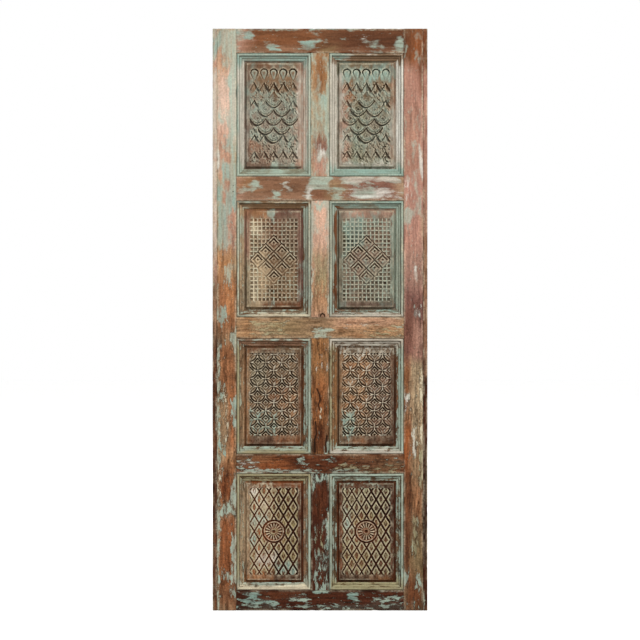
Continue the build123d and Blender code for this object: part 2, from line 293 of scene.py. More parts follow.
# Diamond lattice with a rosette, whose radius is in metres.
lattice_across = 5
lattice_rise = 0.0592
lattice_cut = ((0.385, 0.435), (0, -1.1))
lattice_weight = ((-0.15, 0.15), (0.78, 1.2))
limb_weight = ((-0.1, 0.1), (0.75, 1.2))
leaf_size = (0.30, 0.46)
leaf_cut = ((0.2, 0.75, 1.0), (-0.12, -0.42, 0))
lattice_paint = ((0.16, 0.26, 0.38, 0.44), (0.16, 0.32, 0.32, -0.1))
rosette_radius = 0.0425
rosette_petals = 16
rosette_edge = 1.04
petal_gap = ((0.42, 0.62), (0, -1))
petal_reach = ((0.2, 0.3, 0.5, 0.72, 0.76), (0, 0.4, 1, 1, 0))
rosette_rings = (
    (0.09, 0.14, 0.2, 0.73, 0.755, 0.79, 0.86, 0.885, 1.0, rosette_edge),
    (-1, -0.3, 0, 0, -0.5, 0, 0, -1.1, -1.1, 0),
)
rosette_paint = ((0.3, 0.74, 0.78), (0.12, 0.0, -0.3))

# How patches of colour lie on the wood: pixels across and along the grain, then shares.
grain_px = (2.5, 16.0)
soft_px = (3.0, 8.0)
stain_blur = 2.0
shade_stretch = 1.5
shade_shares = (0.86, 0.28)
grime_heights_px = (200, 360)
grime_range = (0.3, 1.0)
cover_losses = (-0.02, 0.055)

# Shaders: scales of the noises per metre, and how each follows the stretch of the grain.
grain_scale = 420
streak_scale = 110
stain_scale = 46
stain_stretch = 0.4
crack_scale = 120
crack_stretch = 1.3
vein_scale = 36
vein_stretch = 0.7
spot_scales = (11, 11, 5)
speckle_scales = (140, 140, 140)
flake_stretch = 0.45
wash_size = 0.04
wash_stretch = 0.3

# Shaders: detail and roughness of the noises.
grain_noise = (4.0, 0.6)
streak_noise = (6.0, 0.7)
stain_noise = (8.0, 0.75)
spot_noise = (3.0, 0.6)
crack_noise = (3.0, 0.6)
vein_noise = (5.0, 0.6)
speckle_noise = (6.0, 0.65)
flake_noise = (10.0, 0.7)
wash_noise = (5.0, 0.6)

# Shaders: a range of noise or cover, then the range that it is spread over.
pattern_range = (0.3, 0.7)
grain_shades = (0.86, 1.12)
streak_shades = (0.60, 1.38)
speckle_shades = (0.66, 1.34)
spot_ramp = (0.36, 0.56, 0.0, 1.0)
stain_ramp = (0.50, 0.57, 0.0, 0.65)
crack_ramp = (0.62, 0.76, 0.0, 0.4)
vein_ramp = (0.008, 0.026, 0.6, 0.0)
blotch_ramp = (0.3, 0.7, 0.76, 1.16)
thin_ramp = (0.60, 0.40, 0.0, 0.45)
flake_ramp = (0.1, 0.9, -0.14, 1.14)
coat_ramp = (0.95, 1.05, 0.0, 0.92)
wash_ramp = (0.89, 1.03, 0.0, 0.88)
rim_start_ramp = (0.89, 0.95, 0.0, 1.0)
rim_end_ramp = (0.95, 0.98, 0.0, 1.0)
rubbed_ramp = (0.36, 0.56, 0.08, 0.78)
groove_ramp = (0.32, 0.58, 0.72, 1.0)
gloss_ramp = (0.3, 1.7, 0.8, 0.5)

# Shaders: shares at the clean top of the door and at its grimy foot.
pattern_shares = (0.48, 1.0)
stain_shares = (0.3, 1.0)
coat_shares = (0.6, 1.0)
wash_shares = (1.0, 0.1)
# Dirt and painted shade along the rims of paint flakes.
rim_shares = (0.0, 0.8)
# Next two: the share of dirt and painted shade in the hollows, and the dark over the grooves at the top.
dirt_and_shade_shares = (0.96, 1.0)
top_groove_dirt_and_shade = 0.85

# Shaders: single strengths, and the size of flakes and the height of the bumps in metres.
edge_paint = 0.12
cavity_paint_loss = 0.25
member_contrast = 1.4
flake_size = 0.011
panel_flake_size = 0.009
# Strengths of the dirt and painted shade in the hollows of members, mouldings and panels.
member_dirt_and_shade = 0.75
moulding_dirt_and_shade = 0.85
panel_dirt_and_shade = 0.92
member_stretch = 0.07
moulding_stretch = 0.1
panel_stretch = 0.25
shine = 0.08
streak_bump = 0.8
bump_strength = 0.5
bump_height = 0.0012
sharp_angle = 55

# Colours, as red, green and blue from 0 to 255, and tints that are multiplied in.
wood_colours = {
    "peach": (226, 192, 170), "salmon": (203, 158, 134), "rose": (184, 136, 118),
    "orange": (182, 126, 82), "tan": (170, 138, 104), "rust": (152, 88, 50),
    "red_brown": (112, 64, 38), "maroon": (76, 39, 24), "plum": (128, 88, 78),
    "taupe": (142, 128, 112), "olive": (150, 132, 92), "dark": (44, 28, 20),
    "umber": (122, 94, 68), "sand": (190, 166, 132), "moss": (128, 126, 104),
    "clay": (150, 112, 88), "ginger": (154, 108, 68),
}
coat_colours = {
    "teal": (146, 176, 163), "mint": (171, 190, 173), "cream": (228, 218, 188),
    "white": (232, 230, 218), "sage": (164, 158, 122), "pale": (206, 200, 184),
    "lichen": (154, 138, 94), "slate": (140, 154, 140),
}
# The dark laid on for dirt, and for painted shade in hollows, in quirks and along the rims of flakes.
dirt_and_shade_colour = (30, 17, 6)
rubbed_colour = (222, 206, 176)
stain_tint = (0.36, 0.25, 0.19, 1)
# The tint of the wood in the hollows, darkened for stain and as painted shade.
groove_tint = (0.34, 0.27, 0.21, 1)

# Patches of colour: name, then left, top, right and bottom in the photograph's pixels, then strength.
# A wood colour stains the wood, a paint colour covers it, and bare thins the paint out.
# Each piece starts with its wood, its paint and the share that the paint covers.
patches = {
    "left_stile": ("tan", "mint", 0.34, (
        ("salmon", 216, 28, 240, 66, 0.6), ("teal", 213, 29, 222, 46, 0.56),
        ("mint", 222, 30, 240, 66, 0.5), ("orange", 226, 50, 238, 64, 0.5),
        ("peach", 216, 64, 240, 142, 0.95), ("orange", 217, 60, 227, 76, 0.6),
        ("mint", 230, 40, 240, 200, 0.54), ("salmon", 217, 128, 232, 176, 0.8),
        ("teal", 223, 138, 231, 149, 0.6), ("teal", 223, 163, 230, 178, 0.62),
        ("white", 214, 146, 219, 172, 0.62), ("rose", 222, 178, 238, 250, 0.7),
        ("clay", 228, 176, 240, 200, 0.6), ("teal", 213, 180, 221, 204, 0.58),
        ("teal", 218, 206, 227, 248, 0.62), ("teal", 228, 194, 238, 212, 0.62),
        ("orange", 217, 254, 232, 276, 0.8), ("mint", 224, 266, 230, 286, 0.6),
        ("rust", 217, 278, 238, 330, 0.7), ("orange", 225, 282, 238, 318, 0.5),
        ("teal", 217, 306, 227, 322, 0.64), ("dark", 216, 334, 223, 352, 0.6),
        ("red_brown", 216, 318, 240, 352, 0.3), ("red_brown", 216, 462, 240, 500, 0.3),
        ("mint", 217, 338, 223, 350, 0.54), ("mint", 231, 332, 240, 352, 0.64),
        ("rust", 219, 344, 236, 392, 0.8), ("umber", 217, 338, 236, 396, 0.25),
        ("dark", 233, 376, 238, 384, 0.8), ("rust", 228, 388, 236, 452, 0.8),
        ("umber", 217, 388, 226, 446, 0.5), ("mint", 214, 350, 220, 596, 0.58),
        ("cream", 224, 390, 228, 440, 0.50), ("mint", 216, 384, 224, 404, 0.56),
        ("teal", 231, 398, 240, 426, 0.70), ("orange", 227, 456, 240, 470, 0.8),
        ("teal", 216, 440, 226, 460, 0.54), ("rust", 220, 470, 232, 502, 0.9),
        ("maroon", 222, 474, 228, 500, 0.5), ("cream", 216, 468, 221, 496, 0.52),
        ("mint", 231, 474, 238, 514, 0.62), ("mint", 216, 504, 236, 515, 0.62),
        ("rust", 219, 516, 236, 588, 0.9), ("red_brown", 220, 466, 236, 572, 0.4),
        ("mint", 232, 536, 240, 582, 0.64), ("mint", 222, 570, 234, 582, 0.56),
        ("mint", 215, 530, 221, 560, 0.55), ("red_brown", 218, 584, 238, 612, 0.8),
        ("mint", 212, 596, 220, 612, 0.6), ("mint", 230, 586, 240, 598, 0.58),
    )),
    "right_stile": ("umber", "mint", 0.30, (
        ("red_brown", 400, 28, 428, 66, 0.8), ("maroon", 400, 28, 410, 50, 0.5),
        ("mint", 400, 40, 408, 54, 0.44), ("rust", 412, 30, 422, 90, 0.6), ("rose", 402, 66, 428, 110, 0.8),
        ("red_brown", 419, 60, 428, 96, 0.7), ("rose", 402, 100, 428, 240, 0.95),
        ("clay", 404, 104, 420, 176, 0.4), ("white", 420, 148, 425, 178, 0.56),
        ("mint", 403, 208, 411, 223, 0.62), ("white", 405, 178, 411, 200, 0.44),
        ("rose", 402, 230, 428, 300, 0.9), ("taupe", 402, 250, 428, 318, 0.25),
        ("sand", 421, 214, 427, 232, 0.7), ("white", 413, 256, 417, 282, 0.52),
        ("plum", 402, 270, 412, 300, 0.5), ("dark", 418, 273, 424, 283, 0.5),
        ("plum", 402, 290, 428, 362, 0.95), ("red_brown", 402, 306, 416, 352, 0.3),
        ("white", 415, 306, 422, 316, 0.54), ("salmon", 414, 322, 424, 356, 0.4),
        ("rust", 402, 360, 411, 470, 0.5), ("sand", 411, 362, 426, 440, 0.7),
        ("white", 405, 392, 411, 412, 0.56), ("cream", 419, 360, 426, 450, 0.50),
        ("pale", 411, 424, 417, 456, 0.60), ("rust", 402, 426, 410, 476, 0.9),
        ("tan", 412, 440, 424, 520, 0.5), ("sage", 412, 516, 418, 556, 0.58),
        ("sage", 419, 446, 424, 490, 0.58), ("red_brown", 402, 474, 411, 570, 0.8),
        ("rust", 411, 484, 422, 516, 0.5), ("olive", 412, 540, 424, 578, 0.4),
        ("red_brown", 406, 576, 420, 608, 0.85), ("mint", 403, 570, 408, 586, 0.6),
        ("mint", 415, 574, 422, 590, 0.60), ("teal", 402, 600, 426, 612, 0.44),
    )),
    "left_edge_strip": ("umber", "mint", 0.34, (
        ("salmon", 210, 28, 219, 280, 0.85), ("pale", 210, 70, 219, 250, 0.55),
        ("clay", 210, 290, 219, 350, 0.6), ("red_brown", 210, 344, 219, 612, 0.75),
        ("teal", 210, 28, 219, 60, 0.5), ("maroon", 210, 340, 219, 600, 0.5),
        ("dark", 210, 450, 219, 530, 0.4), ("bare", 210, 440, 219, 540, 0.04),
    )),
    "right_edge_strip": ("red_brown", "sage", 0.24, (
        ("rose", 421, 70, 430, 240, 0.8), ("clay", 421, 236, 430, 380, 0.8),
        ("umber", 421, 160, 430, 290, 0.3), ("maroon", 421, 380, 430, 612, 0.95),
        ("dark", 421, 440, 430, 560, 0.6), ("bare", 421, 380, 430, 570, 0.0),
        ("dark", 421, 452, 430, 540, 0.5), ("mint", 421, 590, 430, 612, 0.5),
    )),
    "top_rail": ("red_brown", "mint", 0.27, (
        ("salmon", 232, 29, 248, 52, 0.7), ("mint", 232, 29, 243, 53, 0.46),
        ("teal", 243, 32, 252, 40, 0.62), ("rust", 250, 32, 330, 46, 0.35), ("clay", 250, 46, 306, 53, 0.7),
        ("teal", 270, 45, 278, 51, 0.6), ("teal", 298, 40, 315, 51, 0.52), ("olive", 324, 46, 334, 54, 0.8),
        ("maroon", 318, 32, 404, 48, 0.6), ("umber", 250, 29, 404, 54, 0.3),
        ("maroon", 340, 30, 404, 52, 0.4), ("white", 360, 33, 364, 41, 0.42),
        ("clay", 340, 49, 404, 54, 0.4), ("mint", 338, 50, 392, 54, 0.40), ("mint", 397, 38, 406, 53, 0.52),
        ("teal", 236, 28, 408, 30, 0.5), ("teal", 228, 29, 240, 33, 0.6),
    )),
    "upper_cross_rail": ("clay", "mint", 0.26, (
        ("ginger", 236, 177, 256, 190, 0.8), ("salmon", 232, 178, 240, 202, 0.4),
        ("red_brown", 258, 178, 310, 194, 0.45), ("umber", 240, 178, 312, 200, 0.3),
        ("mint", 253, 181, 260, 189, 0.58), ("white", 284, 180, 288, 191, 0.58),
        ("mint", 270, 190, 278, 200, 0.62), ("white", 304, 187, 312, 199, 0.55),
        ("mint", 314, 174, 329, 190, 0.68), ("red_brown", 312, 190, 334, 199, 0.6),
        ("olive", 330, 180, 346, 202, 0.5), ("mint", 332, 188, 344, 200, 0.54),
        ("pale", 342, 176, 398, 183, 0.56), ("red_brown", 344, 183, 398, 190, 0.4),
        ("white", 346, 188, 400, 199, 0.45), ("mint", 352, 183, 376, 196, 0.44),
        ("sand", 399, 178, 406, 194, 0.8), ("plum", 344, 178, 396, 199, 0.6),
    )),
    "lock_rail": ("tan", "mint", 0.27, (
        ("ginger", 236, 314, 256, 338, 0.6), ("sage", 250, 320, 284, 336, 0.50),
        ("olive", 272, 320, 306, 334, 0.6), ("umber", 284, 318, 312, 338, 0.5),
        ("orange", 332, 314, 402, 340, 0.35), ("salmon", 332, 316, 398, 326, 0.4),
        ("mint", 312, 327, 330, 338, 0.66), ("mint", 397, 322, 404, 337, 0.6),
        ("dark", 319, 318, 325, 324, 0.7), ("pale", 340, 313, 400, 318, 0.5),
        ("umber", 304, 314, 326, 326, 0.6), ("pale", 344, 322, 380, 332, 0.40),
        ("sage", 366, 324, 398, 338, 0.46),
    )),
    "lower_cross_rail": ("red_brown", "mint", 0.34, (
        ("umber", 236, 453, 272, 463, 0.6), ("rust", 256, 458, 330, 472, 0.5),
        ("maroon", 290, 456, 344, 474, 0.7), ("dark", 286, 458, 322, 470, 0.35),
        ("mint", 241, 459, 254, 468, 0.58), ("white", 244, 461, 250, 466, 0.5),
        ("mint", 299, 457, 309, 466, 0.56), ("mint", 236, 469, 322, 476, 0.58),
        ("umber", 346, 455, 402, 476, 0.6), ("sage", 334, 464, 400, 475, 0.48),
        ("mint", 330, 470, 364, 476, 0.60), ("teal", 328, 457, 334, 464, 0.6),
        ("maroon", 336, 458, 378, 468, 0.6),
    )),
    "bottom_rail": ("maroon", "mint", 0.37, (
        ("teal", 246, 593, 258, 601, 0.62), ("teal", 240, 600, 276, 607, 0.65),
        ("mint", 284, 595, 308, 601, 0.54), ("teal", 312, 586, 327, 593, 0.66),
        ("teal", 347, 592, 358, 601, 0.66), ("mint", 374, 595, 402, 603, 0.54),
        ("mint", 240, 604, 400, 609, 0.50), ("red_brown", 250, 592, 300, 598, 0.5),
        ("dark", 236, 607, 404, 612, 0.6),
    )),
    "scale_muntin": ("tan", "mint", 0.36, (
        ("ginger", 313, 52, 330, 88, 0.85), ("red_brown", 318, 54, 322, 90, 0.6),
        ("teal", 320, 95, 328, 115, 0.66), ("mint", 311, 100, 330, 136, 0.46),
        ("plum", 314, 134, 331, 158, 0.8), ("white", 319, 147, 324, 157, 0.54),
        ("rose", 313, 156, 330, 178, 0.8), ("mint", 327, 60, 333, 178, 0.52),
    )),
    "grid_muntin": ("salmon", "mint", 0.28, (
        ("tan", 312, 202, 332, 262, 0.2), ("peach", 312, 202, 332, 262, 0.25),
        ("mint", 310, 200, 332, 207, 0.62), ("tan", 312, 250, 330, 316, 0.8),
        ("sage", 314, 256, 328, 300, 0.47), ("mint", 309, 204, 313, 316, 0.52),
        ("mint", 327, 204, 333, 316, 0.52), ("olive", 314, 276, 326, 286, 0.7),
        ("orange", 313, 284, 328, 312, 0.4), ("dark", 319, 269, 325, 271, 0.4),
    )),
    "circle_muntin": ("ginger", "mint", 0.32, (
        ("rust", 312, 380, 330, 436, 0.6), ("maroon", 312, 428, 330, 456, 0.8),
        ("dark", 313, 432, 326, 452, 0.2), ("cream", 316, 405, 321, 418, 0.54),
        ("mint", 325, 438, 333, 456, 0.66), ("red_brown", 315, 428, 326, 450, 0.8),
        ("umber", 325, 340, 332, 440, 0.6), ("pale", 315, 342, 327, 376, 0.40),
        ("dark", 311, 340, 314, 456, 0.5),
    )),
    "rosette_muntin": ("maroon", "mint", 0.32, (
        ("mint", 310, 473, 332, 481, 0.66), ("mint", 311, 476, 315, 494, 0.6),
        ("mint", 322, 516, 330, 524, 0.58), ("mint", 314, 526, 328, 580, 0.52),
        ("sage", 316, 528, 324, 550, 0.44), ("teal", 327, 500, 333, 590, 0.58),
        ("mint", 314, 582, 326, 592, 0.68), ("red_brown", 314, 482, 326, 514, 0.3),
    )),
    "scale_panel_left": ("taupe", "slate", 0.36, (
        ("salmon", 297, 66, 306, 166, 0.9), ("pale", 297, 70, 304, 160, 0.5),
        ("plum", 238, 60, 250, 168, 0.35), ("rose", 250, 66, 274, 90, 0.35),
        ("red_brown", 246, 150, 274, 172, 0.5), ("rust", 250, 138, 262, 150, 0.5),
        ("umber", 246, 62, 300, 69, 0.6), ("mint", 270, 160, 300, 172, 0.40),
        ("umber", 250, 66, 296, 100, 0.95), ("red_brown", 256, 62, 284, 67, 0.5),
        ("pale", 244, 112, 249, 164, 0.44), ("slate", 256, 92, 294, 146, 0.42),
    )),
    "scale_panel_right": ("moss", "slate", 0.38, (
        ("salmon", 390, 64, 402, 166, 0.85), ("pale", 392, 104, 400, 160, 0.55),
        ("teal", 344, 69, 394, 78, 0.66), ("rose", 338, 78, 350, 164, 0.6),
        ("taupe", 366, 110, 394, 160, 0.6), ("slate", 354, 82, 372, 104, 0.44),
        ("umber", 338, 62, 394, 68, 0.6), ("pale", 338, 163, 396, 170, 0.62),
        ("pale", 336, 72, 342, 164, 0.54), ("umber", 346, 72, 394, 104, 0.8),
        ("rust", 346, 92, 354, 112, 0.4),
    )),
    "grid_panel_left": ("umber", "mint", 0.26, (
        ("sand", 246, 214, 268, 304, 0.75), ("orange", 242, 206, 268, 218, 0.8),
        ("plum", 270, 208, 304, 218, 0.7), ("rose", 238, 212, 250, 258, 0.6),
        ("plum", 297, 214, 308, 304, 0.85), ("moss", 282, 216, 298, 258, 0.4),
        ("plum", 258, 214, 298, 250, 0.3), ("sand", 266, 268, 298, 302, 0.2),
        ("red_brown", 262, 302, 304, 309, 0.85), ("sand", 246, 301, 262, 309, 0.7),
        ("mint", 268, 209, 275, 217, 0.66), ("mint", 268, 302, 275, 309, 0.62),
        ("moss", 244, 259, 249, 302, 0.5), ("mint", 297, 262, 304, 304, 0.44),
        ("cream", 249, 270, 258, 304, 0.44), ("cream", 250, 216, 264, 236, 0.46),
    )),
    "grid_panel_right": ("moss", "teal", 0.34, (
        ("salmon", 342, 208, 396, 218, 0.95), ("taupe", 336, 208, 350, 218, 0.8),
        ("bare", 336, 204, 350, 218, 0.28), ("taupe", 368, 216, 392, 302, 0.6),
        ("teal", 346, 218, 366, 246, 0.5), ("plum", 344, 250, 368, 304, 0.45),
        ("taupe", 338, 216, 344, 300, 0.4), ("mint", 391, 214, 400, 304, 0.56),
        ("plum", 342, 302, 396, 309, 0.6), ("sand", 372, 222, 392, 256, 0.3),
        ("plum", 350, 214, 394, 266, 0.4),
    )),
    "circle_panel_left": ("umber", "pale", 0.34, (
        ("red_brown", 246, 347, 274, 354, 0.95), ("pale", 276, 347, 300, 353, 0.50),
        ("rust", 270, 382, 296, 400, 0.5), ("orange", 280, 394, 298, 418, 0.5),
        ("teal", 248, 410, 278, 438, 0.5), ("red_brown", 298, 354, 306, 438, 0.8),
        ("moss", 250, 356, 266, 390, 0.5), ("maroon", 246, 436, 282, 446, 0.98),
        ("rust", 276, 436, 300, 446, 0.8), ("bare", 246, 436, 300, 446, 0.12),
        ("orange", 244, 354, 249, 446, 0.6), ("cream", 290, 380, 298, 400, 0.38),
    )),
    "circle_panel_right": ("umber", "pale", 0.33, (
        ("pale", 338, 346, 396, 354, 0.72), ("orange", 342, 356, 368, 420, 0.65),
        ("teal", 342, 408, 356, 438, 0.58), ("plum", 370, 360, 392, 436, 0.4),
        ("maroon", 390, 354, 398, 440, 0.8), ("rust", 344, 368, 362, 382, 0.4),
        ("sand", 346, 372, 362, 392, 0.4), ("rust", 346, 437, 370, 446, 0.6),
        ("maroon", 366, 436, 396, 446, 0.8), ("maroon", 364, 418, 384, 436, 0.45),
        ("mint", 341, 437, 352, 446, 0.5),
    )),
    "rosette_panel_left": ("rust", "sage", 0.36, (
        ("sand", 242, 484, 250, 576, 0.85), ("maroon", 273, 486, 298, 576, 0.9),
        ("lichen", 274, 488, 298, 576, 0.36), ("mint", 248, 514, 268, 526, 0.42),
        ("pale", 256, 552, 278, 564, 0.44), ("cream", 254, 500, 268, 508, 0.42),
        ("cream", 244, 482, 273, 489, 0.68), ("maroon", 297, 486, 306, 580, 0.85),
        ("rust", 262, 520, 286, 546, 0.6), ("ginger", 242, 574, 274, 582, 0.8),
        ("dark", 273, 574, 304, 582, 0.8), ("bare", 246, 574, 304, 582, 0.12),
        ("teal", 276, 562, 298, 577, 0.42), ("teal", 246, 532, 256, 544, 0.42),
        ("white", 248, 488, 256, 496, 0.44),
    )),
    "rosette_panel_right": ("red_brown", "sage", 0.32, (
        ("lichen", 346, 500, 392, 530, 0.32), ("mint", 344, 506, 352, 530, 0.34),
        ("mint", 380, 494, 392, 512, 0.34), ("lichen", 344, 550, 370, 566, 0.30),
        ("maroon", 364, 484, 394, 580, 0.6), ("dark", 340, 484, 394, 520, 0.4),
        ("rust", 354, 520, 378, 546, 0.5), ("red_brown", 342, 546, 366, 576, 0.45),
        ("maroon", 390, 486, 398, 578, 0.7), ("mint", 341, 481, 392, 487, 0.56),
        ("ginger", 346, 575, 392, 582, 0.5), ("sage", 346, 490, 390, 512, 0.30),
        ("dark", 338, 574, 368, 584, 0.8), ("bare", 338, 574, 396, 584, 0.12),
        ("sage", 390, 532, 396, 574, 0.46),
    )),
    "scale_mouldings": ("taupe", "pale", 0.60, (
        ("teal", 232, 46, 314, 64, 0.56), ("umber", 326, 46, 408, 64, 0.9),
        ("bare", 326, 46, 408, 64, 0.22), ("teal", 326, 50, 346, 60, 0.5), ("teal", 232, 84, 238, 168, 0.6),
        ("salmon", 300, 66, 308, 164, 0.6), ("bare", 300, 66, 308, 164, 0.50),
        ("mint", 307, 60, 314, 170, 0.62), ("moss", 232, 166, 408, 180, 0.9),
        ("mint", 232, 166, 314, 180, 0.39), ("teal", 326, 166, 408, 180, 0.60),
        ("white", 396, 66, 408, 160, 0.68),
    )),
    "grid_mouldings": ("umber", "mint", 0.46, (
        ("umber", 232, 196, 314, 210, 0.8), ("bare", 232, 196, 314, 210, 0.28),
        ("teal", 326, 196, 408, 210, 0.53), ("sand", 232, 206, 246, 310, 0.6),
        ("bare", 240, 206, 246, 310, 0.40), ("red_brown", 300, 214, 306, 306, 0.4),
        ("mint", 304, 206, 314, 312, 0.58), ("red_brown", 334, 206, 342, 314, 0.9),
        ("bare", 334, 206, 342, 314, 0.30), ("mint", 326, 206, 334, 312, 0.62),
        ("mint", 394, 206, 408, 312, 0.72), ("mint", 232, 308, 314, 314, 0.48),
        ("cream", 250, 313, 312, 320, 0.60), ("teal", 326, 308, 408, 314, 0.54),
        ("pale", 330, 313, 408, 320, 0.60),
    )),
    "circle_mouldings": ("umber", "mint", 0.50, (
        ("clay", 232, 334, 314, 348, 0.7), ("bare", 238, 336, 300, 348, 0.36),
        ("pale", 326, 334, 408, 348, 0.64), ("tan", 240, 350, 246, 446, 0.7),
        ("bare", 240, 350, 246, 446, 0.36), ("sage", 232, 346, 240, 452, 0.66),
        ("red_brown", 300, 350, 305, 444, 0.7), ("bare", 300, 350, 305, 444, 0.40),
        ("mint", 305, 346, 314, 450, 0.66), ("ginger", 334, 350, 342, 446, 0.8),
        ("bare", 334, 350, 342, 446, 0.30), ("sage", 326, 346, 334, 452, 0.54),
        ("red_brown", 394, 350, 398, 444, 0.7), ("bare", 394, 350, 398, 444, 0.46),
        ("mint", 398, 346, 408, 450, 0.76), ("mint", 232, 444, 314, 451, 0.62),
        ("sage", 240, 450, 308, 457, 0.70), ("mint", 330, 444, 408, 450, 0.62),
        ("pale", 330, 449, 408, 457, 0.64),
    )),
    "rosette_mouldings": ("umber", "mint", 0.52, (
        ("sage", 232, 470, 314, 484, 0.60), ("mint", 326, 470, 408, 484, 0.62),
        ("sand", 240, 486, 246, 584, 0.7), ("sage", 232, 482, 240, 588, 0.64),
        ("bare", 240, 486, 246, 584, 0.44), ("clay", 300, 486, 306, 582, 0.7),
        ("bare", 300, 486, 306, 582, 0.40), ("tan", 306, 484, 310, 586, 0.8),
        ("bare", 306, 484, 309, 586, 0.46), ("mint", 308, 482, 314, 588, 0.64),
        ("dark", 334, 486, 341, 582, 0.6), ("bare", 334, 486, 341, 582, 0.44),
        ("mint", 326, 480, 334, 588, 0.66), ("umber", 394, 486, 400, 582, 0.7),
        ("mint", 399, 480, 408, 588, 0.60), ("mint", 232, 580, 314, 586, 0.62),
        ("cream", 236, 585, 310, 593, 0.72), ("olive", 326, 580, 408, 593, 0.6),
        ("sage", 330, 580, 404, 593, 0.64),
    )),
}

# Cracks in the muntins: corners in the photograph's pixels. Then the step of a cracked mesh and the
# cracks' depth in metres, and their half width in pixels.
cracks = {
    "grid_muntin": (((320.4, 316.4), (320.8, 314.4), (322.7, 313.5), (324.4, 314.8), (324.8, 316.6)),),
    "circle_muntin": (
        ((317.0, 389), (319.5, 395), (320.0, 399.5), (318.5, 405), (319.5, 410)),
        ((315.6, 422), (316.6, 434), (314.4, 440), (314.8, 452)),
        ((327.0, 436), (325.5, 444), (326.0, 452)),
    ),
}
cracked_step = 0.002
cracked_depth = 0.0016
crack_px = 0.95
crack_floor = 1.2

# The rail and the side whose pegs have lost their paint: painted dark and dirty, partly as painted shade in
# their holes.
dark_pegs = ("upper_cross_rail", "left")

# The floor, the camera and the light, in metres and watts.
floor_half = 30.0
floor_gap = 0.0005
floor_colour = (0.5, 0.5, 0.49, 1)
floor_roughness = 0.9
floor_glow = 0.80
sky_strength = 0.22
white = (1, 1, 1, 1)
sensor_width_mm = 36.0
camera_distance = 8.0
lamp_distance = 12.0
lamp_size = 1.8
key_direction = (0.34, -0.70, 0.62)
key_power = 1240
back_direction = (-0.4, 0.75, 0.5)
back_power = 900
fill_place = (-3.0, -4.0, 1.6)
fill_size = 2.5
fill_power = 24


def linear(colour):
    """A colour from 0 to 255 as linear light from 0 to 1, by the usual curve of screens."""
    share = np.array(colour) / 255
    return np.where(share <= 0.04045, share / 12.92, ((share + 0.055) / 1.055) ** 2.4)


def value_noise(x, y, seed):
    """Smooth noise from 0 to 1 with one value per unit square."""
    table = np.random.default_rng(seed).random((noise_table, noise_table))
    column = np.floor(x).astype(int)
    line = np.floor(y).astype(int)
    across = x - column
    up = y - line
    across = across * across * (3 - 2 * across)
    up = up * up * (3 - 2 * up)
    levels = []
    for level in (line % noise_table, (line + 1) % noise_table):
        near = table[level, column % noise_table]
        far = table[level, (column + 1) % noise_table]
        levels.append(near * (1 - across) + far * across)
    return levels[0] * (1 - up) + levels[1] * up


def layered_noise(first, second, grain, seed, layers=4):
    """Several scales of noise added up, from 0 to 1, with the coarsest as large as the grain."""
    x = first / grain[0]
    y = second / grain[1]
    total = np.zeros(np.shape(x))
    weight = 1.0
    whole = 0.0
    for layer in range(layers):
        total = total + weight * value_noise(x * 2 ** layer, y * 2 ** layer, seed + layer)
        whole += weight
        weight *= finer_weight
    return total / whole


def photo_places(points):
    """Where points lie in the photograph, in its pixels from the left and from the top."""
    x = points[:, x_axis] / metres_per_px + door_middle_px
    y = door_foot_px - points[:, z_axis] / metres_per_px
    return x, y


def patch_share(places, waves, soft, patch, crisp):
    """How much of a patch lies at each place, from 0 outside to 1 within its wavering edge."""
    name, left, top, right, bottom, _ = patch
    blur = stain_blur if name in wood_colours else 1.0
    outside = []
    for place, wave, reach, low, high in zip(places, waves, soft, (left, top), (right, bottom)):
        reach = reach * blur
        thin = min(1, (high - low) / reach) if crisp else 1
        beyond = np.abs(place + wave * thin - (low + high) / 2) - (high - low) / 2
        outside.append(beyond / (reach * thin))
    return np.clip(0.5 - np.maximum(*outside), 0, 1)


def surface_colours(points, patch_name, upright, seed, crisp=False):
    """The wood colour, the paint colour, the paint's cover and the grime at each point."""
    wood_name, coat_name, cover_share, areas = patches[patch_name]
    x, y = photo_places(points)
    grain = grain_px if upright else grain_px[::-1]
    soft = soft_px if upright else soft_px[::-1]
    wave_x = (layered_noise(x, y, grain, seed) - 0.5) * 2.0 * soft[0]
    wave_y = (layered_noise(x, y, grain, seed + wave_draw) - 0.5) * 2.0 * soft[1]
    wood = np.tile(linear(wood_colours[wood_name]), (len(points), 1))
    coat = np.tile(linear(coat_colours[coat_name]), (len(points), 1))
    cover = np.full(len(points), cover_share)
    for patch in areas:
        name, strength = patch[0], patch[-1]
        share = patch_share((x, y), (wave_x, wave_y), soft, patch, crisp)
        if name in wood_colours:
            wood += (linear(wood_colours[name]) - wood) * (share * strength)[:, None]
        else:
            cover += (strength - cover) * share
        if name in coat_colours:
            coat += (linear(coat_colours[name]) - coat) * share[:, None]
    stretched = [shade_stretch * size for size in grain]
    shade = shade_shares[0] + shade_shares[1] * layered_noise(x, y, stretched, seed + shade_draw)
    grime = np.interp(y, grime_heights_px, grime_range)
    cover -= np.interp(grime, grime_range, cover_losses)
    return {"wood": wood * shade[:, None], "coat": coat, "cover": cover, "grime": grime}


def add_piece(name, nodes, points, faces, material, shades):
    """Makes a mesh piece of the door that stands for its CAD nodes."""
    mesh = bpy.data.meshes.new(name)
    mesh.from_pydata(points.tolist(), [], faces)
    mesh.polygons.foreach_set("use_smooth", np.ones(len(mesh.polygons), dtype=bool))
    mesh.set_sharp_from_angle(angle=math.radians(sharp_angle))
    for key, values in shades.items():
        if np.ndim(values) == 2:
            layer = mesh.attributes.new(key, "FLOAT_COLOR", "POINT")
            layer.data.foreach_set("color", np.column_stack([values, np.ones(len(values))]).ravel())
        else:
            layer = mesh.attributes.new(key, "FLOAT", "POINT")
            layer.data.foreach_set("value", values)
    mesh.materials.append(material)
    piece = bpy.data.objects.new(name, mesh)
    bpy.context.scene.collection.objects.link(piece)
    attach(piece, "root")
    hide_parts(*nodes)


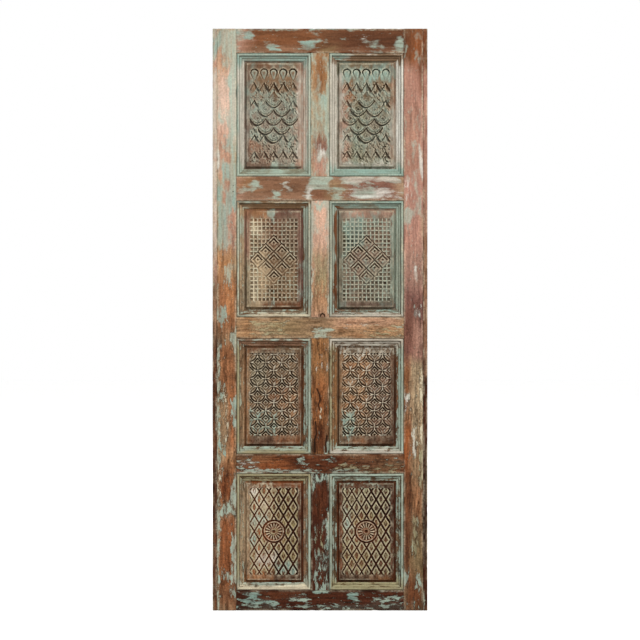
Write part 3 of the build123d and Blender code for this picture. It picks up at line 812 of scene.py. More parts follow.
def ring_faces(rings, count):
    """Quads between closed rings of points, with the first and last ring filled."""
    faces = []
    for ring in range(rings - 1):
        for place in range(count):
            after = (place + 1) % count
            first = ring * count
            faces.append((first + place, first + after, first + count + after, first + count + place))
    faces.append(tuple(reversed(range(count))))
    faces.append(tuple(range((rings - 1) * count, rings * count)))
    return faces


def turned(faces):
    """Faces that look the other way."""
    return [tuple(reversed(face)) for face in faces]


def face_marks(width, step):
    """Places across a face, closer together beside its two corners."""
    near = [mark for mark in corner_marks if mark < width / 4]
    inner = np.linspace(near[-1], width - near[-1], max(2, round(width / step)))
    return np.concatenate([[0], near[:-1], inner, [width - mark for mark in reversed(near[:-1])], [width]])


def bar_grid(width, depth, length, step, rounded_ends):
    """Places across, into and along a bar, for rings of points round it."""
    marks = face_marks(width, step)
    side_marks = face_marks(depth, side_step)[1:-1]
    ring_a = np.concatenate([marks, np.full(len(side_marks), width), marks[::-1], np.zeros(len(side_marks))])
    ring_d = np.concatenate([np.zeros(len(marks)), side_marks, np.full(len(marks), depth), side_marks[::-1]])
    stations = np.linspace(0, length, max(3, round(length / step)))
    if rounded_ends:
        stations = np.concatenate([[0], [end_round], stations[1:-1], [length - end_round], [length]])
    a, run = np.meshgrid(ring_a, stations)
    return a, np.broadcast_to(ring_d, a.shape), run


def corner_wear(a, d, run, width, depth, seed):
    """How far the worn edges of a bar are drawn in, and the rubbing and the joint dirt along them."""
    shift_a, shift_d, edge, joint, level = (np.zeros(a.shape) for _ in range(5))
    for number, (corner_a, corner_d) in enumerate(((0, 0), (width, 0), (width, depth), (0, depth))):
        rub = layered_noise(run, level, (rub_length, 1), seed + corner_draws * number)
        chip = layered_noise(run, level, (chip_length, 1), seed + chip_draw + number)
        chip = np.interp(chip, chip_range, (0, 1))
        wear = edge_wear * (wear_shares[0] + wear_shares[1] * rub) + (deep_wear - edge_wear) * chip
        wear = np.minimum(wear, min(width, depth) * wear_limit)
        away = np.abs(a - corner_a) + np.abs(d - corner_d)
        reach = wear * np.clip(1 - away / (wear_reach * wear), 0, 1) ** 2
        shift_d += np.where(d == corner_d, reach, 0) * (1 if corner_d == 0 else -1)
        shift_a += np.where(a == corner_a, reach, 0) * (1 if corner_a == 0 else -1)
        rubbed = np.interp(away, (0, rubbed_reach), (1, 0)) * np.interp(rub, rubbed_range, (0, 1))
        edge = np.maximum(edge, rubbed)
        dirty = np.interp(away, joint_reach, (1, 0)) * np.interp(rub, joint_range, (1, joint_least))
        joint = np.maximum(joint, dirty)
    return shift_a, shift_d, edge, joint


def grain_dents(a, run, seed):
    """The depth of dents and splits along the grain."""
    dents = layered_noise(run, a, dent_grain, seed + dent_draw) * dent_depth
    splits = np.clip(layered_noise(run, a, split_grain, seed + split_draw) - split_start, 0, 1)
    return dents + splits * split_depth


def worn_block(low, high, along, seed, rounded_ends, step=member_step, dented=True):
    """A closed bar along one axis with rubbed edges and a dented front, kept inside its box."""
    across = x_axis if along == z_axis else z_axis
    width = high[across] - low[across]
    depth = high[y_axis] - low[y_axis]
    a, d, run = bar_grid(width, depth, high[along] - low[along], step, rounded_ends)
    shift_a, shift_d, edge, joint = corner_wear(a, d, run, width, depth, seed)
    dents = grain_dents(a, run, seed) * dented
    dents = np.where(d == 0, dents, 0) - np.where(d == depth, dents, 0)
    inset = np.zeros(a.shape)
    if rounded_ends:
        inset[0] = end_round
        inset[-1] = end_round
    points = np.empty((a.size, 3))
    points[:, across] = (low[across] + a + shift_a + inset * np.sign(width / 2 - a)).ravel()
    points[:, y_axis] = (low[y_axis] + d + shift_d + dents + inset * np.sign(depth / 2 - d)).ravel()
    points[:, along] = (low[along] + run).ravel()
    faces = ring_faces(*a.shape)
    if across == z_axis:
        faces = turned(faces)
    # The deepest dents and splits are marked for dirt and painted shade.
    hollow = np.clip(np.abs(dents) / dent_depth - hollow_start, 0, hollow_most)
    return points, faces, edge.ravel(), hollow.ravel(), joint.ravel()


def crack_shares(points, crack):
    """How far open a crack is at each point, from 0 beside it to 1 along its middle."""
    x, y = photo_places(points)
    nearest = np.full(len(points), np.inf)
    for (x_from, y_from), (x_to, y_to) in zip(crack, crack[1:]):
        run_x, run_y = x_to - x_from, y_to - y_from
        share = ((x - x_from) * run_x + (y - y_from) * run_y) / (run_x ** 2 + run_y ** 2)
        share = np.clip(share, 0, 1)
        nearest = np.minimum(nearest, np.hypot(x - x_from - share * run_x, y - y_from - share * run_y))
    return np.clip(crack_floor - nearest / crack_px, 0, 1)


def add_member(node, low, high, along, material, slot, seed, rounded_ends=False):
    """One stile, rail, muntin or edge strip, with the cracks in its front."""
    step = cracked_step if node in cracks else member_step
    points, faces, edge, hollow, joint = worn_block(low, high, along, seed, rounded_ends, step)
    shades = surface_colours(points, node, along == z_axis, seed)
    # Dark joints, and dirt with painted shade in the deepest dents and splits.
    cavity = np.maximum(hollow, joint * (joint_dirt[0] + joint_dirt[1] * shades["grime"]))
    dark = linear(wood_colours["dark"])
    # Each crack is pushed in and turned to dark bare wood with dirt, partly as painted shade inside it.
    for crack in cracks.get(node, ()):
        front = points[:, y_axis] < (low[y_axis] + high[y_axis]) / 2
        open_share = crack_shares(points, crack) * front
        points[:, y_axis] += cracked_depth * open_share
        cavity = np.maximum(cavity, open_share)
        shades["wood"] += open_share[:, None] * (dark - shades["wood"])
        shades["cover"] *= 1 - open_share
    shades.update(edge=edge, cavity=cavity)
    add_piece(node + "_worn", [node], points, faces, material, shades)


def opening(row, side):
    """The low and high corners, in x and z, of the opening that holds a panel."""
    below, above = rows[row]
    if side == "left":
        x_low, x_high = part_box("left_stile")[1][0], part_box(row + "_muntin")[0][0]
    else:
        x_low, x_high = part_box(row + "_muntin")[1][0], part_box("right_stile")[0][0]
    return x_low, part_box(below)[1][2], x_high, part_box(above)[0][2]


def section_shares(row):
    """Shares across, shares of height, and dirt with painted shade for each line along a row's mouldings."""
    across, height, dirt_and_shade = (np.array(column) for column in zip(*moulding_section))
    return across, height, np.minimum(dirt_and_shade * line_dirt_and_shade[row], 1)


def moulding_shades(row, edge_name, points, a, run, seed):
    """Colours of a strip: painted along its bead, darkened along its lines by dirt and painted shade, less on
    a bottom strip that faces up to the light, and rubbed on its top.
    """
    share_a, share_h, dirt_and_shade = section_shares(row)
    shades = surface_colours(points, row + "_mouldings", edge_name in sides, seed)
    bead = np.interp(share_a, bead_marks, (0, bead_paint, bead_paint, 0))
    shades["cover"] += np.broadcast_to(bead, a.shape).ravel()
    # Less painted shade and dirt on a bottom strip, which faces up to the light.
    cavity = dirt_and_shade * (bottom_strip_dirt_and_shade if edge_name == "bottom" else 1)
    broken = np.interp(layered_noise(run, a, bead_rub_grain, seed + bead_draw), bead_rub_range, (0, 1))
    edge = np.clip(1 - dirt_and_shade * 2, 0, 1) * (share_h > bead_share) * broken
    shades.update(edge=bead_rubs[row] * edge.ravel(), cavity=np.broadcast_to(cavity, a.shape).ravel())
    return shades


def add_moulding(row, side, edge_name, material, seed):
    """One mitred strip of moulding, with a bead, a step and a hollow."""
    node = f"{row}_{side}_moulding_{edge_name}"
    low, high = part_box(node)
    along, across = (z_axis, x_axis) if edge_name in sides else (x_axis, z_axis)
    width = high[across] - low[across]
    height = high[y_axis] - low[y_axis]
    length = high[along] - low[along]
    share_a, share_h, _ = section_shares(row)
    a, share = np.meshgrid(share_a * width, np.linspace(0, 1, round(length / moulding_step)))
    run = a + share * (length - 2 * a)
    rub = np.clip(layered_noise(run, a, moulding_wear_grain, seed) - moulding_wear_start, 0, 1)
    rise = np.maximum(share_h * height - moulding_wear * rub * (share_h > foot_share), 0)
    points = np.empty((a.size, 3))
    from_low = edge_name in ("left", "bottom")
    points[:, across] = (low[across] + a if from_low else high[across] - a).ravel()
    points[:, y_axis] = (high[y_axis] - rise).ravel()
    points[:, along] = (low[along] + run).ravel()
    faces = ring_faces(*a.shape)
    if edge_name in ("right", "bottom"):
        faces = turned(faces)
    shades = moulding_shades(row, edge_name, points, a, run, seed)
    add_piece(node + "_worn", [node], points, faces, material, shades)


def chip_point(x, drop, half_width, height, fade_end=point_fade_end):
    """An inverted V cut deep along its right limb, lightly along its left, and hollowed out below."""
    down = drop / height
    limb = np.interp(x / half_width, *point_limb)
    under = (down - np.abs(x) / half_width) * np.interp(limb, *point_slopes)
    cut = np.interp(under, *point_cut) * np.interp(limb, *point_depths)
    return cut * np.interp(down, (point_fade_start, fade_end), (1, 0)) * np.interp(down, *point_top)


def teardrops(x, drop, column):
    """A row of painted domes, each under a deep cap that thins out down its sides."""
    centre, radius, tip = drop_centre * column, drop_radius * column, drop_tip * column
    below = np.clip((drop - centre) / (tip - centre), 0, 1)
    half = radius * (1 - below) ** drop_taper
    from_rim = np.where(drop < centre, radius - np.hypot(x, drop - centre), half - np.abs(x)) / radius
    cut = np.interp(from_rim * np.interp(x / radius, *drop_slant), *drop_cut)
    cap = np.interp(drop, (drop_cap[0] * centre, drop_cap[1] * tip), (1, drop_sides))
    return cut * cap, np.interp(from_rim, *drop_paint)


def scale_tile(x, above, scale_width, pitch, eyed):
    """One fish scale, proud along its rounded foot, with a hatched rim and a ringed eye."""
    if not eyed:
        return np.interp(above / pitch, *plain_tile)
    tile = np.interp(above / pitch, *eyed_tile)
    hatch = np.abs(x * hatches / scale_width - np.round(x * hatches / scale_width))
    hatch = np.interp(hatch, *hatch_cut) * np.interp(above / pitch, *hatch_band)
    radius = np.hypot(x / (eye_size[0] * scale_width), (above - eye_height * pitch) / (eye_size[1] * pitch))
    return np.minimum(np.minimum(tile, hatch), np.interp(radius, *eye_cut))


def fish_scales(x, drop, column, scale_width):
    """Overlapping rows of scales, the lowest laid first, and the paint left on their feet."""
    sag = scale_sag * column
    pitch = scale_pitch * column
    carved = np.zeros(x.shape)
    paint = np.zeros(x.shape)
    for (foot, count), number in itertools.product(reversed(scale_rows), range(-2, 3)):
        centre = (number + (0 if count % 2 else 0.5)) * scale_width
        eyed = abs(centre) < (count / 2) * scale_width
        from_middle = np.abs(x - centre) / (scale_width / 2)
        above = foot * column - sag * from_middle ** 2 - drop
        inside = (from_middle < 1.0) & (above > 0) & (above < 2.0 * pitch)
        carved = np.where(inside, scale_tile(x - centre, above, scale_width, pitch, eyed), carved)
        paint = np.where(inside, np.interp(above / pitch, *scale_paint), paint)
        below = -above / np.hypot(1, 4 * sag * from_middle / scale_width) / column
        below = below * np.interp((x - centre) / scale_width, *scale_slant)
        groove = np.interp(below, *scale_groove) * (1.0 if eyed else plain_groove)
        carved = np.where((from_middle < 1.0) & (below > 0), np.minimum(carved, groove), carved)
    return carved, paint


def scale_carving(x, z, width, height):
    """Teardrops over points, a diamond of fish scales and a last row of points."""
    column = width / drop_columns
    drop = height / 2 - z
    carved, paint = fish_scales(x, drop, column, width / scales_across)
    place = np.clip(np.round(x / column), -2, 2)
    local = x - place * column
    half_point, point_height = (share * column for share in point_size)
    for top, least in point_rows:
        cut = chip_point(local, drop - top * column, half_point, point_height)
        carved = np.where(np.abs(place) >= least, np.minimum(cut, carved), carved)
    nick_x, nick_z = (share * column for share in nick_size)
    nicks = nick_depth - np.abs(local) / nick_x - np.abs(drop - nick_drop * column) / nick_z
    half_point, point_height = (share * column for share in upper_point_size)
    upper = chip_point(local, drop - upper_point_top * column, half_point, point_height, upper_point_fade)
    carved = np.minimum(np.minimum(carved, -np.clip(nicks, 0, 1)), upper)
    strokes = layered_noise(x - stroke_slant * drop, drop, stroke_grain, stroke_seed)
    strokes = np.interp(strokes, *stroke_cut)
    under_drops = drop > scales_top * column
    carved = np.where(under_drops, np.minimum(carved, strokes), carved)
    drops, dome_paint = teardrops(local, drop, column)
    return np.minimum(carved, drops), np.where(under_drops, paint, dome_paint)


def lattice_places(x, z, across, up):
    """Slanted coordinates whose whole numbers are the middles of a lattice of diamonds."""
    p = x / across + z / up
    q = x / across - z / up
    return p - np.round(p), q - np.round(q)


def upper_sides(right, left, lower_depth):
    """Full depth on the two upper sides of a diamond, and a smaller share on its lower sides."""
    side = np.where(np.abs(right) > np.abs(left), right, -left)
    return np.interp(side, slant_turn, (lower_depth, upper_depth))


def grid_carving(x, z, width, height):
    """Square pits with a block of nine ringed diamonds in the middle."""
    i = x / (width / pits_across)
    j = z / (height / pits_up)
    square = np.maximum(np.abs(i - np.floor(i) - 0.5), np.abs(j - np.floor(j) - 0.5))
    a, b = lattice_places(i, j, pits_per_diamond, pits_per_diamond)
    rings = np.interp(np.maximum(np.abs(a), np.abs(b)), *diamond_rings)
    slant = upper_sides(a, b, diamond_lower_depth)
    slant = slant * np.interp(np.abs(a) - np.abs(b), slant_turn, (light_limb, 1))
    block = np.abs(i) + np.abs(j) < block_reach
    depth = np.where(block, rings * slant, np.interp(square, *pit_cut))
    return depth, np.where(block, 0, np.interp(square, *pit_paint))


def circle_carving(x, z, width, height):
    """Interlaced circles whose overlaps make petals, with a ringed diamond in each gap."""
    pitch = width / circles_across
    u, v = lattice_places(x, z, pitch, pitch)
    ring = np.maximum(np.abs(u), np.abs(v))
    arc = np.hypot(1 - ring, np.minimum(np.abs(u), np.abs(v))) - circle_radius
    groove = np.interp(np.abs(arc), *circle_groove)
    slant = upper_sides(u, v, circle_lower_depth)
    slant = slant * np.interp(np.abs(u) - np.abs(v), slant_turn, (light_limb, circle_limb))
    inner = np.where(arc < 0, np.interp(arc, *petal_cut), np.interp(ring, *gap_diamond))
    paint = np.where(arc < petal_edge, petal_paint, np.interp(ring, *gap_paint))
    return np.minimum(inner, groove) * slant, paint


def rosette_carving(x, z, width, height):
    """A lattice of dished diamonds with a petalled rosette in the middle."""
    u, v = lattice_places(x, z + lattice_rise / 2, width / lattice_across, lattice_rise)
    ring = np.maximum(np.abs(u), np.abs(v))
    leaf = np.hypot((u + v) / leaf_size[0], (u - v) / leaf_size[1])
    weight = np.interp(x / width, *lattice_weight) * np.interp(u - v, *limb_weight)
    lattice = np.interp(0.5 - (0.5 - ring) / weight, *lattice_cut)
    lattice = np.minimum(lattice, np.interp(leaf, *leaf_cut))
    radius = np.hypot(x, z) / rosette_radius
    turn = np.arctan2(z, x) / (2 * math.pi) * rosette_petals
    gaps = np.interp(np.abs(turn - np.round(turn)) * 2, *petal_gap) * np.interp(radius, *petal_reach)
    flower = np.minimum(np.interp(radius, *rosette_rings), gaps)
    inside = radius < rosette_edge
    paint = np.where(inside, np.interp(radius, *rosette_paint), np.interp(ring, *lattice_paint))
    return np.where(inside, flower, lattice), paint


carvings = {
    "scale": scale_carving, "grid": grid_carving, "circle": circle_carving, "rosette": rosette_carving,
}


def panel_marks(low, high, carved_low, carved_high, inner):
    """Grid lines across a panel: few on the flat border, close together over the carving."""
    field_low = low + inner
    field_high = high - inner
    start = [low - tongue, field_low - bevel - quirk / 2, field_low - bevel, field_low - bevel / 2, field_low]
    start += list(np.linspace(field_low, carved_low, border_lines)[1:-1])
    middle = np.linspace(carved_low, carved_high, round((carved_high - carved_low) / carving_step))
    end = list(np.linspace(carved_high, field_high, border_lines)[1:-1])
    end += [field_high, field_high + bevel / 2, field_high + bevel]
    end += [field_high + bevel + quirk / 2, high + tongue]
    return np.concatenate([start, middle, end])


def blurred(values, reach):
    """The mean of each value and its neighbours within reach along both axes."""
    kernel = np.ones(2 * reach + 1) / (2 * reach + 1)
    padded = np.pad(values, reach, mode="edge")
    lines = np.apply_along_axis(np.convolve, 1, padded, kernel, mode="valid")
    return np.apply_along_axis(np.convolve, 0, lines, kernel, mode="valid")


def panel_faces(lines, columns):
    """Quads of a grid, with four sides and a back through four more corners."""
    place = np.arange(columns * lines).reshape(lines, columns)
    quads = np.stack([place[:-1, :-1], place[:-1, 1:], place[1:, 1:], place[1:, :-1]], axis=-1).reshape(-1, 4)
    corner = columns * lines
    faces = [tuple(quad) for quad in quads.tolist()]
    faces.append((corner, corner + 3, corner + 2, corner + 1))
    faces.append(tuple(place[0, ::-1].tolist()) + (corner, corner + 1))
    faces.append(tuple(place[::-1, -1].tolist()) + (corner + 1, corner + 2))
    faces.append(tuple(place[-1].tolist()) + (corner + 2, corner + 3))
    faces.append(tuple(place[:, 0].tolist()) + (corner + 3, corner))
    return faces


def carved_cut(row, x, z, middle, half, seed):
    """The depth of a panel's carving, the paint it keeps, and how it fades at its outer edge."""
    sway_x = 2 * carving_sway * (layered_noise(x, z, sway_grain, seed, 2) - 0.5)
    sway_z = 2 * carving_sway * (layered_noise(x, z, sway_grain, seed + sway_draw, 2) - 0.5)
    from_x = x - middle[0]
    from_z = z - middle[1]
    depth, paint = carvings[row](from_x + sway_x, from_z + sway_z, 2 * half[0], 2 * half[1])
    fade = np.minimum(half[0] - np.abs(from_x), half[1] - np.abs(from_z))
    fade = np.clip(fade / carving_fade, 0, 1)
    blunt = blunt_shares[0] + blunt_shares[1] * layered_noise(x, z, blunt_grain, seed + blunt_draw)
    return np.clip(-depth * fade * blunt, 0, deepest_share) * carving_depth, paint * fade, fade


def panel_cavity(x, z, cut, fade, from_field, seed):
    """Dirt and painted shade in a panel's cuts and in the quirk round it, and dirt smeared over its flat
    border.
    """
    # Dirt and painted shade in the cuts, darker where they are deeper.
    cavity = np.interp(cut / carving_depth, *cut_dirt_and_shade)
    # Painted shade with dirt: a dark line along the quirk on all four sides of the field.
    foot = quirk_dark_floor - np.abs(from_field + quirk_dark_place) / quirk_dark_width
    cavity = np.maximum(cavity, quirk_dirt_and_shade * np.clip(foot, 0, 1))
    smeared = np.interp(layered_noise(x, z, smear_grain, seed + smear_draw), *smear_range)
    return np.maximum(cavity, border_dirt * smeared * (1 - fade) * (from_field >= 0))


def panel_edge(x, z, cut, from_field, seed):
    """Rubbed ridges between a panel's cuts, and its rubbed and broken outer edge."""
    ridges = np.clip((blurred(cut, ridge_blur) - cut) / ridge_height, 0, 1)
    broken = np.interp(layered_noise(x, z, broken_grain, seed + broken_draw), broken_range, (0, 1))
    return np.maximum(ridges, np.clip(1 - np.abs(from_field) / bevel_rub, 0, 1) * broken)


def add_panel(row, side, material, seed):
    """One raised panel with its carving cut into the field, and a plain back."""
    node = f"{row}_panel_{side}"
    low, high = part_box(node)
    moulding_low, moulding_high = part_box(f"{row}_{side}_moulding_left")
    inner = moulding_high[0] - moulding_low[0] + quirk + bevel
    x_low, z_low, x_high, z_high = opening(row, side)
    middle = ((x_low + x_high) / 2, (z_low + z_high) / 2 + carving_rises[row])
    half = ((x_high - x_low) / 2 - inner - border, carved_heights[row] / 2)
    across = panel_marks(x_low, x_high, middle[0] - half[0], middle[0] + half[0], inner)
    up = panel_marks(z_low, z_high, middle[1] - half[1], middle[1] + half[1], inner)
    x, z = np.meshgrid(across, up)
    from_edge = np.minimum(np.minimum(x - x_low, x_high - x), np.minimum(z - z_low, z_high - z))
    from_field = from_edge - inner
    rise = np.clip((from_field + bevel) / bevel, 0, 1)
    cut, paint, fade = carved_cut(row, x, z, middle, half, seed)
    fibre = layered_noise(x, z, fibre_grain, seed + fibre_draw) * fibre_depth
    waves = layered_noise(x, z, wave_grain, seed + panel_wave_draw) * wave_depth
    tongue_y = moulding_high[1]
    y = tongue_y + (low[1] - tongue_y) * rise + cut + (fibre + waves) * rise
    back = [(x[place], high[1], z[place]) for place in ((0, 0), (0, -1), (-1, -1), (-1, 0))]
    points = np.vstack([np.column_stack([x.ravel(), y.ravel(), z.ravel()]), back])
    shades = surface_colours(points, node, True, seed, True)
    front = x.size
    shades["cover"][:front] += paint.ravel()
    shades["wood"][front:] = linear(wood_colours[back_wood])
    shades["coat"][front:] = linear(coat_colours[back_coat])
    shades["cover"][front:] = back_cover
    plain = np.zeros(len(back))
    cavity = panel_cavity(x, z, cut, fade, from_field, seed)
    edge = panel_edge(x, z, cut, from_field, seed)
    shades.update(edge=np.append(edge, plain), cavity=np.append(cavity, plain))
    add_piece(node + "_carved", [node], points, panel_faces(*x.shape), material, shades)


def middle_height(node):
    """The height of the middle of a node's box."""
    low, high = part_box(node)
    return (low[2] + high[2]) / 2


def add_pegs(material, seed):
    """The square pegs through the tenons, two at each end of a rail, painted over with the stiles."""
    low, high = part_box("tenon_pegs")
    half = high[2] - middle_height("top_rail") - peg_spread
    points = []
    faces = []
    shades = []
    for rail, lift, (number, side) in itertools.product(rails, (-peg_spread, peg_spread), enumerate(sides)):
        x = low[0] + half if side == "left" else high[0] - half
        z = middle_height(rail) + lift
        corners = (x - half, low[1], z - half), (x + half, high[1], z + half)
        peg_points, peg_faces, *_ = worn_block(*corners, z_axis, seed + len(points), True, dented=False)
        start = len(points) * len(peg_points)
        faces += [tuple(start + corner for corner in face) for face in peg_faces]
        points.append(peg_points)
        colours = surface_colours(peg_points, side + "_stile", True, stile_seed + number)
        colours.update(edge=np.zeros(len(peg_points)), cavity=np.zeros(len(peg_points)))
        # Dark, dirty bare pegs, partly painted shade in their holes.
        if (rail, side) == dark_pegs:
            colours["wood"][:] = linear(wood_colours["dark"])
            colours["cover"][:] = 0
            colours["cavity"][:] = 1
        shades.append(colours)
    joined = {key: np.concatenate([colours[key] for colours in shades]) for key in shades[0]}
    add_piece("tenon_pegs_worn", ["tenon_pegs"], np.vstack(points), faces, material, joined)


def add_node(tree, kind, inputs=None, **settings):
    """A shader node with its settings, and its inputs set or linked."""
    made = tree.nodes.new(kind)
    for name, value in settings.items():
        setattr(made, name, value)
    for key, value in (inputs or {}).items():
        if isinstance(value, bpy.types.NodeSocket):
            tree.links.new(value, made.inputs[key])
        else:
            made.inputs[key].default_value = value
    return made


def noise(tree, place, scales, detail, roughness):
    """Noise stretched by a scale along each axis."""
    mapping = add_node(tree, "ShaderNodeMapping", {"Vector": place, "Scale": scales})
    made = add_node(
        tree, "ShaderNodeTexNoise",
        {"Vector": mapping.outputs[0], "Scale": 1.0, "Detail": detail, "Roughness": roughness},
    )
    return made.outputs["Fac"]


def along_grain(scale, stretch, power=1):
    """A scale for each axis, stretched by a power of the grain's stretch."""
    return [scale * way ** power for way in stretch]


def spread(tree, value, low, high, to_low=0.0, to_high=1.0):
    """A value from one range spread over another, and held inside it."""
    made = add_node(
        tree, "ShaderNodeMapRange",
        {"Value": value, "From Min": low, "From Max": high, "To Min": to_low, "To Max": to_high},
    )
    return made.outputs["Result"]


def calculate(tree, operation, first, second=0.0):
    """One sum on two values."""
    return add_node(tree, "ShaderNodeMath", {0: first, 1: second}, operation=operation).outputs[0]


def blend(tree, share, first, second, how="MIX"):
    """Two colours mixed by a share."""
    made = add_node(tree, "ShaderNodeMix", {0: share, 6: first, 7: second}, data_type="RGBA", blend_type=how)
    return made.outputs[2]


def attribute(tree, name, output="Fac"):
    """A value kept on the mesh."""
    return add_node(tree, "ShaderNodeAttribute", attribute_name=name).outputs[output]


def by_grime(tree, clean, grimy):
    """A share that goes from one value at the clean top of the door to another at its grimy foot."""
    return spread(tree, attribute(tree, "grime"), *grime_range, clean, grimy)


def shaded(tree, colour, value, share=1.0):
    """A colour multiplied by a value."""
    grey = add_node(tree, "ShaderNodeCombineColor", {0: value, 1: value, 2: value}).outputs[0]
    return blend(tree, share, colour, grey, "MULTIPLY")


def dirt_and_shade_over(tree, share, colour):
    """A colour with a share of plain dark over it: dirt, and painted shade where it darkens hollows and the
    rims of flakes.
    """
    return blend(tree, share, colour, (*linear(dirt_and_shade_colour), 1))


def bare_wood(tree, place, stretch, speckle, contrast):
    """Wood with grain, broad streaks, stains and dark cracks and veins along it."""
    grain = noise(tree, place, along_grain(grain_scale, stretch), *grain_noise)
    streaks = noise(tree, place, along_grain(streak_scale, stretch), *streak_noise)
    wood = attribute(tree, "wood", "Color")
    for pattern, shades in ((grain, grain_shades), (streaks, streak_shades), (speckle, speckle_shades)):
        low, high = (1 + contrast * (shade - 1) for shade in shades)
        shade = spread(tree, pattern, *pattern_range, low, high)
        wood = shaded(tree, wood, shade, by_grime(tree, *pattern_shares))
    spots = spread(tree, noise(tree, place, spot_scales, *spot_noise), *spot_ramp)
    stains = noise(tree, place, along_grain(stain_scale, stretch, stain_stretch), *stain_noise)
    stained = calculate(tree, "MULTIPLY", spread(tree, stains, *stain_ramp), spots)
    stained = calculate(tree, "MULTIPLY", stained, by_grime(tree, *stain_shares))
    wood = blend(tree, stained, wood, blend(tree, 1.0, wood, stain_tint, "MULTIPLY"))
    splits = noise(tree, place, along_grain(crack_scale, stretch, crack_stretch), *crack_noise)
    veins = noise(tree, place, along_grain(vein_scale, stretch, vein_stretch), *vein_noise)
    veins = calculate(tree, "ABSOLUTE", calculate(tree, "SUBTRACT", veins, 0.5))
    veins = calculate(tree, "MULTIPLY", spread(tree, veins, *vein_ramp), spots)
    cracked = calculate(tree, "MAXIMUM", spread(tree, splits, *crack_ramp), veins)
    cracked = calculate(tree, "MULTIPLY", cracked, by_grime(tree, *stain_shares))
    return dirt_and_shade_over(tree, cracked, wood), streaks


def old_paint(tree, speckle, streaks, wood):
    """Paint with blotches, rubbed thin in streaks so that the wood shows through."""
    paint = shaded(tree, attribute(tree, "coat", "Color"), spread(tree, speckle, *blotch_ramp))
    return blend(tree, spread(tree, streaks, *thin_ramp), paint, wood)


def paint_cover(tree, place, stretch, size):
    """How well paint holds at each place: in flakes, more on edges and less in hollows."""
    flakes = noise(tree, place, along_grain(1 / size, stretch, flake_stretch), *flake_noise)
    cover = calculate(tree, "ADD", spread(tree, flakes, *flake_ramp), attribute(tree, "cover"))
    cover = calculate(tree, "ADD", cover, calculate(tree, "MULTIPLY", attribute(tree, "edge"), edge_paint))
    lost = calculate(tree, "MULTIPLY", attribute(tree, "cavity"), cavity_paint_loss)
    return calculate(tree, "SUBTRACT", cover, lost)


def paint_share(tree, place, stretch, cover):
    """How much paint shows: thick flakes, and a thin wash near the clean top of the door."""
    thick = calculate(tree, "MULTIPLY", spread(tree, cover, *coat_ramp), by_grime(tree, *coat_shares))
    clouds = noise(tree, place, along_grain(1 / wash_size, stretch, wash_stretch), *wash_noise)
    wash = calculate(tree, "ADD", clouds, attribute(tree, "cover"))
    wash = calculate(tree, "MULTIPLY", spread(tree, wash, *wash_ramp), by_grime(tree, *wash_shares))
    return calculate(tree, "MAXIMUM", thick, wash)


def flake_rims(tree, cover, colour):
    """A colour with dirt and painted shade along the rims of the flakes."""
    flake = spread(tree, cover, *rim_end_ramp)
    rim = calculate(tree, "SUBTRACT", spread(tree, cover, *rim_start_ramp), flake)
    return dirt_and_shade_over(tree, calculate(tree, "MULTIPLY", rim, by_grime(tree, *rim_shares)), colour)


def rubbed_edges(tree, speckle, colour):
    """A colour rubbed pale along the edges."""
    rubbed = calculate(tree, "MULTIPLY", attribute(tree, "edge"), spread(tree, speckle, *rubbed_ramp))
    return blend(tree, rubbed, colour, (*linear(rubbed_colour), 1))


def dirt_and_shade_in_hollows(tree, speckle, wood, colour, strength, groove_dirt_and_shade):
    """A colour with stained wood, dirt and painted shade in the hollows."""
    groove = blend(tree, 1.0, wood, groove_tint, "MULTIPLY")
    groove = dirt_and_shade_over(tree, by_grime(tree, top_groove_dirt_and_shade, groove_dirt_and_shade), groove)
    dirt_and_shade = calculate(tree, "MULTIPLY", attribute(tree, "cavity"), spread(tree, speckle, *groove_ramp))
    dirt_and_shade = calculate(tree, "MULTIPLY", dirt_and_shade, by_grime(tree, *dirt_and_shade_shares))
    return blend(tree, calculate(tree, "MULTIPLY", dirt_and_shade, strength), colour, groove)


def worn_paint(name, stretch, size, dirt_and_shade_strength, contrast=1.0, groove_dirt_and_shade=top_groove_dirt_and_shade):
    """Grained wood under flaking paint, with dirt and painted shade in the hollows and rubbed edges."""
    material = bpy.data.materials.new(name)
    material.use_nodes = True
    tree = material.node_tree
    shader = tree.nodes["Principled BSDF"]
    place = add_node(tree, "ShaderNodeTexCoord").outputs["Object"]
    speckle = noise(tree, place, speckle_scales, *speckle_noise)
    wood, streaks = bare_wood(tree, place, stretch, speckle, contrast)
    cover = paint_cover(tree, place, stretch, size)
    coat_share = paint_share(tree, place, stretch, cover)
    colour = blend(tree, coat_share, wood, old_paint(tree, speckle, streaks, wood))
    colour = rubbed_edges(tree, speckle, flake_rims(tree, cover, colour))
    colour = dirt_and_shade_in_hollows(tree, speckle, wood, colour, dirt_and_shade_strength, groove_dirt_and_shade)
    tree.links.new(colour, shader.inputs["Base Color"])
    gloss = spread(tree, calculate(tree, "ADD", coat_share, speckle), *gloss_ramp)
    tree.links.new(gloss, shader.inputs["Roughness"])
    shader.inputs["Specular IOR Level"].default_value = shine
    height = calculate(tree, "ADD", coat_share, calculate(tree, "MULTIPLY", streaks, streak_bump))
    bump = {"Strength": bump_strength, "Distance": bump_height, "Height": height}
    tree.links.new(add_node(tree, "ShaderNodeBump", bump).outputs[0], shader.inputs["Normal"])
    return material


def upright_wood(name):
    """Painted wood with its grain up the door."""
    return worn_paint(name, (1, 1, member_stretch), flake_size, member_dirt_and_shade, member_contrast)


def level_wood(name):
    """Painted wood with its grain across the door."""
    return worn_paint(name, (member_stretch, 1, 1), flake_size, member_dirt_and_shade, member_contrast)


def moulding_wood(name, upright):
    """Thickly painted wood with dirt and painted shade along the lines of the section."""
    stretch = (1, 1, moulding_stretch) if upright else (moulding_stretch, 1, 1)
    return worn_paint(name, stretch, flake_size, moulding_dirt_and_shade)


